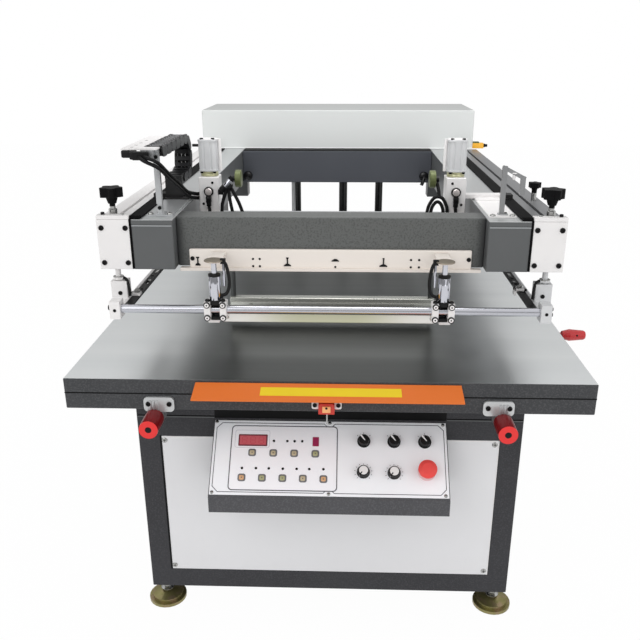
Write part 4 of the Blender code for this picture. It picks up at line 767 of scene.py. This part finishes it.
# Posts behind the head: dark sleeves, the left one beside a bright tube
form = Shape()
for x, r in ((-148, 11), (22, 15.5), (156, 14)):
    form.turned((x, 1450, -32), UP, ((r, 0), (r, 214), (r - 1.5, 215.4)))
form.turned((-164, 1450, -32), UP, ((8.5, 0), (8.5, 214), (7.5, 215.4)), 1, 24)
form.done("post_sleeves", "base", GLOSS_BLACK, SILVER)

# Frame arms: bolts, levers, rod ends and clamps on the slotted bars, slots in the bars
SLOT_X = 427
CLAMP_Y = {"l": 172, "r": 230}
SLOTS = {"l": ((440, 5), (362, 12), (286, 4)), "r": ((420, 5), (352, 12), (296, 4))}    # middle and half length
for letter, sign in SIDES:
    form = Shape()
    form.screw((sign * 457, 148.4, 139.5), FRONT, 4.6, 2.4)
    form.tube([(sign * 449, 160, 171), (sign * 441, 152, 167), (sign * 436.5, 147, 150), (sign * 436, 146, 134)],
              3.2, 1)
    form.turned((sign * 462, 163, 172.6), UP, ((11.5, 0), (11.5, 1.6), (6.4, 1.7)), 2, 24)
    for z, radius, height in ((128, 6.2, 6),) if sign < 0 else ((133, 4.4, 5), (121, 4.4, 5)):
        form.screw((sign * 459, 83, z), (sign, 0, 0), radius, height)
    form.screw((sign * 448, 68.1, 126), FRONT, 3.4, 1.4)
    form.done("arm_fixings_" + letter, "head", SOCKET, BLACK, NUT_METAL)
    x, y = sign * SLOT_X, CLAMP_Y[letter]
    form = Shape()
    form.block((x - 14, x + 8), around(y, 9), (128.2, 134), 0, 1)
    form.block((x - 14, x - 9), around(y, 9), (118, 134), 0, 1)
    form.plate(hexagon(6.6, x, y), 134, 139.5, 1, 0.6)
    form.turned((x, y, 139), UP, ((3.4, 0), (3.4, 3.5), (2.8, 4)), 1, 16)
    form.screw((sign * 438, y - 4, 128.2), UP, 4.2, 4, 2)
    for y, reach in SLOTS[letter]:
        form.block(around(x, 3.2), around(y, reach), (127.6, 128.7), 1)
    form.done("bar_clamp_" + letter, "head", WHITE_METAL, NUT_METAL, SOCKET)

# Lifts: flange, collars, barrel sleeve, clamp bolts, elbow and hose; rivets on the bar
LIFT_X, LIFT_Y = 237, 83
CLAMP_Z = 126
LIFT_PARTS = (      # height, profile, finish, sides, flutes and their depth
    (231.3, ((19.5, 0), (19.8, 0.8), (19.2, 2.2), (7, 2.6)), 1, 36),
    (204, ((5.8, 0), (5.8, 27)), 0, 24),
    (199, ((12.6, 0), (12.8, 1), (12.8, 4.6), (9, 6), (6.4, 6.4)), 2, 32),
    (148, ((12, 0), (12.3, 0.6), (12.3, 50.4), (12, 51)), 0, 48, 12, 0.9),
    (144.6, ((12.9, 0), (13, 0.6), (13, 3), (12.4, 3.6)), 2, 32),
)
for letter, sign in SIDES:
    x, inner = sign * LIFT_X, -sign
    form = Shape()
    for z, profile, *look in LIFT_PARTS:
        form.turned((x, LIFT_Y, z), UP, profile, *look)
    form.block(around(x, 15), (73, 155.9), (227.8, 231.4), 4, 0.6)
    for dx in (-16.5, 16.5):
        form.block(around(x + dx, 7), (68.2, 98), (106.4, 145.6), 3, 2.4)
        for dz in (-14, 14):
            form.turned((x + dx, 68.4, CLAMP_Z + dz), FRONT, ((6.8, 0), (6.8, 2.6), (6.2, 3.4)), 2)
            form.turned((x + dx, 65.4, CLAMP_Z + dz), FRONT, ((4.8, 0), (4.6, 0.7)), 3, 24)
            form.turned((x + dx, 64.8, CLAMP_Z + dz), FRONT, ((1.9, 0), (1.8, 0.3)), 2, 6)
        form.turned((x + dx, 78, 145.4), UP, ((5, 0), (5, 2.6), (3.6, 4.6)), 2, 20)
    form.block(around(x, 10), (92.6, 97.6), (110, 142), 0, 0.6)
    form.block(around(x, 9.6), (70, 96), (138.6, 147.6), 2, 1.4)
    form.block(around(x, 9.6), (72, 96), (105.6, 112.8), 2, 1.4)
    form.block(span(sign * 230, sign * 254), (79, 97), (97.5, 106.6), 3, 1)
    form.block(span(x + inner * 13.5, x + inner * 25), (78, 88), (225, 236.4), 2, 2)
    form.turned((x + inner * 19.5, 88, 176), UP, ((3, 0), (3.3, 0.6), (3.3, 48), (2.8, 49)), 0, 20)
    bends = ((12, 231), (24.2, 225), (30.2, 196), (29.2, 174), (22.2, 160), (7, 156))
    form.tube([(x + inner * u, LIFT_Y, z) for u, z in bends], 3.5, 2, steps=8)
    form.block(span(x + inner * 11, x + inner * 16), (78.5, 87.5), (150.5, 160), 2, 1)
    piece = form.done("lift_set_" + letter, "head", CHROME, BRONZE, BLACK, WHITE_METAL, CREAM)
    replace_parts(piece, "front_lift_" + letter)
form = Shape()
for x in (-216, 216):
    form.turned((x, 98.4, 104), FRONT, ((3.6, 0), (3.4, 0.8), (2, 1.5)), 0, 20)
form.done("bar_rivets", "head", NUT_METAL)

# Cylinders: grooved barrels with end bolts, rings, ports, gauges and the shock absorber
CYLINDER_X, CYLINDER_Y = 288, 380
BARREL_R, BARREL_POWER = 22.2, 3.6      # a square with full corners: |x|^n + |y|^n = r^n
GROOVES = (0.36, 1.21, 1.93, 2.78, 3.5, 4.35, 5.07, 5.92)   # where they lie round the barrel, in radians
GROOVE_DEEP, GROOVE_HALF = 1.9, 0.1
PORT_Y, PORT_Z = 355, 325
GAUGE_X = {"l": -226, "r": 241}
GAUGE_Y, GAUGE_Z = 368, 353
HOSES = {
    "l": (((-243, 354, 334), (-250, 352, 318), (-257, 350, 296), (-259, 350.5, 274)),
          ((-240, 354, 336), (-240, 351, 318), (-237, 350, 296), (-233, 350.5, 274)),
          ((-237, 354, 338), (-229, 351, 322), (-218, 350, 300), (-209, 350.5, 274))),
    "r": (((222, 350.5, 274), (227, 350, 296), (240, 350, 314), (257, 350, 312), (268, 350, 292), (271, 350.5, 274)),
          ((231, 353, 274), (235, 352, 292), (244, 352, 303), (253, 352, 300), (259, 352, 288), (261, 353, 274)),
          ((244, 362, 346), (247, 356, 334), (249, 352, 322), (250, 350, 312))),
}
for letter, sign in SIDES:
    x = sign * CYLINDER_X
    form = Shape()
    section = []
    for k in range(96):
        a = 2 * pi * k / 96
        c, s = abs(cos(a)), abs(sin(a))
        r = BARREL_R / (c ** BARREL_POWER + s ** BARREL_POWER) ** (1 / BARREL_POWER)
        for groove in GROOVES:
            gap = abs((a - groove + pi) % (2 * pi) - pi)
            r -= GROOVE_DEEP * max(0, 1 - gap / GROOVE_HALF)
        section.append((x + r * cos(a), CYLINDER_Y + r * sin(a)))
    form.plate(section, 372, 440.5)
    cap = rounded(44.8, 44.8, 9, 5, (x, CYLINDER_Y))
    form.plate(cap, 437.5, 442.4, 0, 0.8)
    form.plate(cap, 370.4, 374.5, 0, 0.8)
    for dx in (-13, 13):
        form.screw((x + dx, 366, 442.4), UP, 4.2, 3.2, 1)
        form.turned((x + dx * 1.15, 359, 366.5), UP, ((3.4, 0), (3.4, 4)), 1, 16)
    form.turned((x, CYLINDER_Y, 358.6), UP,
                ((19.4, 0), (20.4, 0.8), (20.4, 4), (19.6, 5.4), (20.2, 6.6), (20.2, 10.6), (19.2, 11.6)), 2, 48)
    form.done("barrel_" + letter, "carriage", SILVER, SOCKET, BRASS)
    form = Shape()
    form.turned((x, PORT_Y, PORT_Z), FRONT, ((11, 0), (11.2, 0.8), (11.2, 5), (10, 6.2)), 1, 36)
    form.turned((x, PORT_Y, PORT_Z), FRONT, ((8.2, 0), (8.2, 7.6), (7, 8.8), (3, 9.2)), 2, 32)
    form.block(around(x, 6.4), (341, 353), (300, 315), 1, 2.4)
    form.turned((x, 347, 292), UP, ((5, 0), (5.8, 0.8), (5.8, 8), (5, 9)), 1, 24)
    form.tube([(x, 347, 300), (x, 346.6, 290), (x + 1, 347, 280), (x + 1, 348, 272)], 4)
    form.block(span(x - sign * 86, x + sign * 34), (346.8, 354.6), (268.4, 276), 2, 1.2)
    form.turned((x - 9 * sign, 355.1, 345), FRONT, ((3.2, 0), (3, 0.8), (1.5, 1.2)), 1, 16)
    form.turned((x + 14 * sign, 355.1, 296), FRONT, ((3.2, 0), (3, 0.8), (1.5, 1.2)), 1, 16)
    gauge = (GAUGE_X[letter], GAUGE_Y, GAUGE_Z)
    form.turned(gauge, (-sign, 0, 0), ((18.6, 0), (20.2, 1.2), (20.2, 13), (18.6, 14.4), (8, 14.6)), 3, 48)
    form.turned(gauge, (sign, 0, 0), ((7, 0), (7, 8), (5, 9)), 1, 24)
    if letter == "l":
        form.block((-249, -231), (348, 360), (330, 342), 1, 2)
    for route in HOSES[letter]:
        form.tube(route, 4)
    piece = form.done("air_set_" + letter, "carriage", RUBBER, GLOSS_BLACK, PORT_METAL, OLIVE)
    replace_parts(piece, "air_fittings_" + letter)
form = Shape()
for profile, mat in ((((5, 0), (8, 1), (8, 13), (7, 14)), 1), (((6.4, 13), (6.4, 34), (5.8, 35)), 0),
                     (((7.6, 34), (7.6, 42), (6, 43)), 1)):
    form.turned((-258, 352, 327), (27, 0, 30), profile, mat)
form.block((-266, -254), (350, 358), (318, 330), 1, 1)
form.done("shock_absorber", "carriage", CHROME, BLACK)

# Sliding plates: round screws at the front; mast, tray and sensor details
form = Shape()
for x, y in ((-384, 180), (-343, 180), (343, 178), (384, 178)):
    form.turned((x, y, 307.1), UP, ((6, 0), (5.9, 1.4), (4.6, 3.4), (2, 4.2)))
    form.turned((x, y, 310.8), UP, ((2.2, 0), (2.1, 0.7)), 1, 6)
form.done("shoe_screws", "carriage", NUT_METAL, SOCKET)
form = Shape()
for y in (186, 220, 262, 310):
    form.turned((-414, y, 445.4), UP, ((4.2, 0), (4, 0.6), (2, 0.7)), 1, 20)
form.block((-431, -404.5), (158.5, 190), (427, 442.6), 2, 4)
form.block((-412, -372), (150, 161.4), (424.5, 441.5), 2, 4)
form.done("tray_cover", "carriage", WHITE_METAL, NUT_METAL, BLACK)
form = Shape()
form.block((-368, -356), (171.8, 173.4), (330, 420))
form.block((-372, -352), (170.6, 191), (307.3, 311), 0, 0.6)
for z in (428, 322):
    form.screw((-362, 171.8, z), FRONT, 4, 2.2, 1)
form.done("mast_trim", "carriage", ALUMINIUM, SOCKET)
form = Shape()
form.turned((383, 190, 396), DOWN, ((6, 0), (6, 2), (3.2, 3), (3.2, 14), (2.4, 15)), 0, 20)
form.block((355, 376), (184, 197), (307.3, 310.5), 1, 0.6)
form.screw((372, 190.5, 310.5), UP, 3, 2, 2)
form.done("sensor_trim", "carriage", WHITE_METAL, ALUMINIUM, SOCKET)

# Energy chain: cables inside it, ribs across its top made light grey as a painted highlight on the black links
CHAIN_X = -371
LINK = 22
LINK_HALF = 10.8
BEND = LINK / (2 * sin(pi / 12))      # radius of the bend of 12 links a turn
BEND_Y = 500 - LINK_HALF - BEND
BEND_Z = 446 - LINK_HALF - BEND
form = Shape()
for x in (CHAIN_X - 9, CHAIN_X, CHAIN_X + 9):
    route = [(x, BEND_Y - LINK * k, BEND_Z + BEND) for k in range(11, -1, -2)]
    for k in range(7):
        a = pi / 2 - pi * k / 6
        route.append((x, BEND_Y + (BEND - 1) * cos(a), BEND_Z + BEND * sin(a)))
    route += [(x, BEND_Y - LINK * k, BEND_Z - BEND) for k in (1, 3)]
    form.tube(route, 4.4, sides=8, steps=3)
form.done("chain_filling", "carriage", RUBBER)
form = Shape()
for k in range(11):
    y = BEND_Y - LINK * (k + 0.5)
    # Ribs in light grey, painted highlight.
    form.block((-383.5, -358.5), around(y, 2.2), (443.6, 446), 0, 0.5)
    for x in around(CHAIN_X, 9):
        form.turned((x, y, 445.2), UP, ((1.8, 0), (1.8, 0.8), (1.2, 0.9)), 1, 12)
form.done("chain_ribs", "carriage", RIB_HIGHLIGHT_GREY, NUT_METAL)

# Squeegee: clamping strip with screws
form = Shape()
form.block((-250, 250), (366.8, 368.4), (38, 50), 0, 0.5)
for x in (-200, -100, 0, 100, 200):
    form.screw((x, 366.9, 44), FRONT, 4, 2.6)
form.done("squeegee_strip", "squeegee_unit", BAR_METAL)

# Stage: white ground, white surroundings for camera and reflections, soft lamps

FLOOR_SHOWN = 0.975     # how much of the ground's own light the camera sees, the rest keeps the machine's soft shadow
FLOOR_REACH = 9
FLOOR_LOW = -0.0005
WORLD_SOFT = 0.88       # light from all round
WORLD_LOW = 0.35        # what polished metal shows near the horizon
WORLD_RISE = (0.05, 0.75)

paint = bpy.data.materials.new("floor_white")
paint.use_nodes = True
tree = paint.node_tree
shader = tree.nodes["Principled BSDF"]
feed(tree, shader, {"Base Color": (0.93, 0.93, 0.93, 1), "Roughness": 0.9})
path = node(tree, "LightPath")
either = calc(tree, "MAXIMUM", path["Is Camera Ray"], path["Is Glossy Ray"])
seen = calc(tree, "MULTIPLY", calc(tree, "MAXIMUM", either, path["Is Transmission Ray"]), FLOOR_SHOWN)
shine = node(tree, "Emission", {"Strength": 1})["Emission"]
both = node(tree, "MixShader", {0: seen, 1: shader.outputs[0], 2: shine})["Shader"]
feed(tree, tree.nodes["Material Output"], {"Surface": both})
ground = bpy.data.meshes.new("floor")
corners = [(x * FLOOR_REACH, y * FLOOR_REACH, 0) for x, y in ((-1, -1), (1, -1), (1, 1), (-1, 1))]
ground.from_pydata(corners, [], [(0, 1, 2, 3)])
ground.materials.append(paint)
floor = bpy.data.objects.new("floor", ground)
scene.collection.objects.link(floor)
floor.location = (0, 0, FLOOR_LOW)

world = bpy.data.worlds.new("surroundings")
scene.world = world
world.use_nodes = True
tree = world.node_tree
path = node(tree, "LightPath")
height = node(tree, "SeparateXYZ", {"Vector": node(tree, "TexCoord")["Generated"]})["Z"]
rise = node(tree, "MapRange", {"Value": height, "From Min": WORLD_RISE[0], "From Max": WORLD_RISE[1],
                               "To Min": WORLD_LOW, "To Max": 1}, interpolation_type="SMOOTHSTEP")["Result"]
seen = calc(tree, "MAXIMUM", path["Is Camera Ray"], path["Is Transmission Ray"])
shone = node(tree, "Mix", {"A": WORLD_SOFT, "B": rise, "Factor": path["Is Glossy Ray"]})["Result"]
shown = node(tree, "Mix", {"A": shone, "B": 1, "Factor": seen})["Result"]
feed(tree, tree.nodes["Background"], {"Color": (1, 1, 1, 1), "Strength": shown})


def lamp(name, place, aim, size, power):
    data = bpy.data.lights.new(name, "AREA")
    data.shape = "DISK"
    data.size = size
    data.energy = power
    obj = bpy.data.objects.new(name, data)
    scene.collection.objects.link(obj)
    obj.location = place
    obj.rotation_euler = (Vector(aim) - Vector(place)).to_track_quat("-Z", "Y").to_euler()


lamp("key", (-1.6, -3.0, 2.4), (0.0, 0.0, 0.6), 2.2, 18.0)
lamp("fill", (2.4, -2.2, 1.6), (0.0, 0.0, 0.6), 2.4, 10.0)
lamp("top", (0.2, 0.6, 3.4), (0.0, 0.1, 0.7), 2.6, 6.0)
lamp("front", (0.0, -0.42, 1.7), (0.0, 0.62, 1.02), 0.8, 5.4)
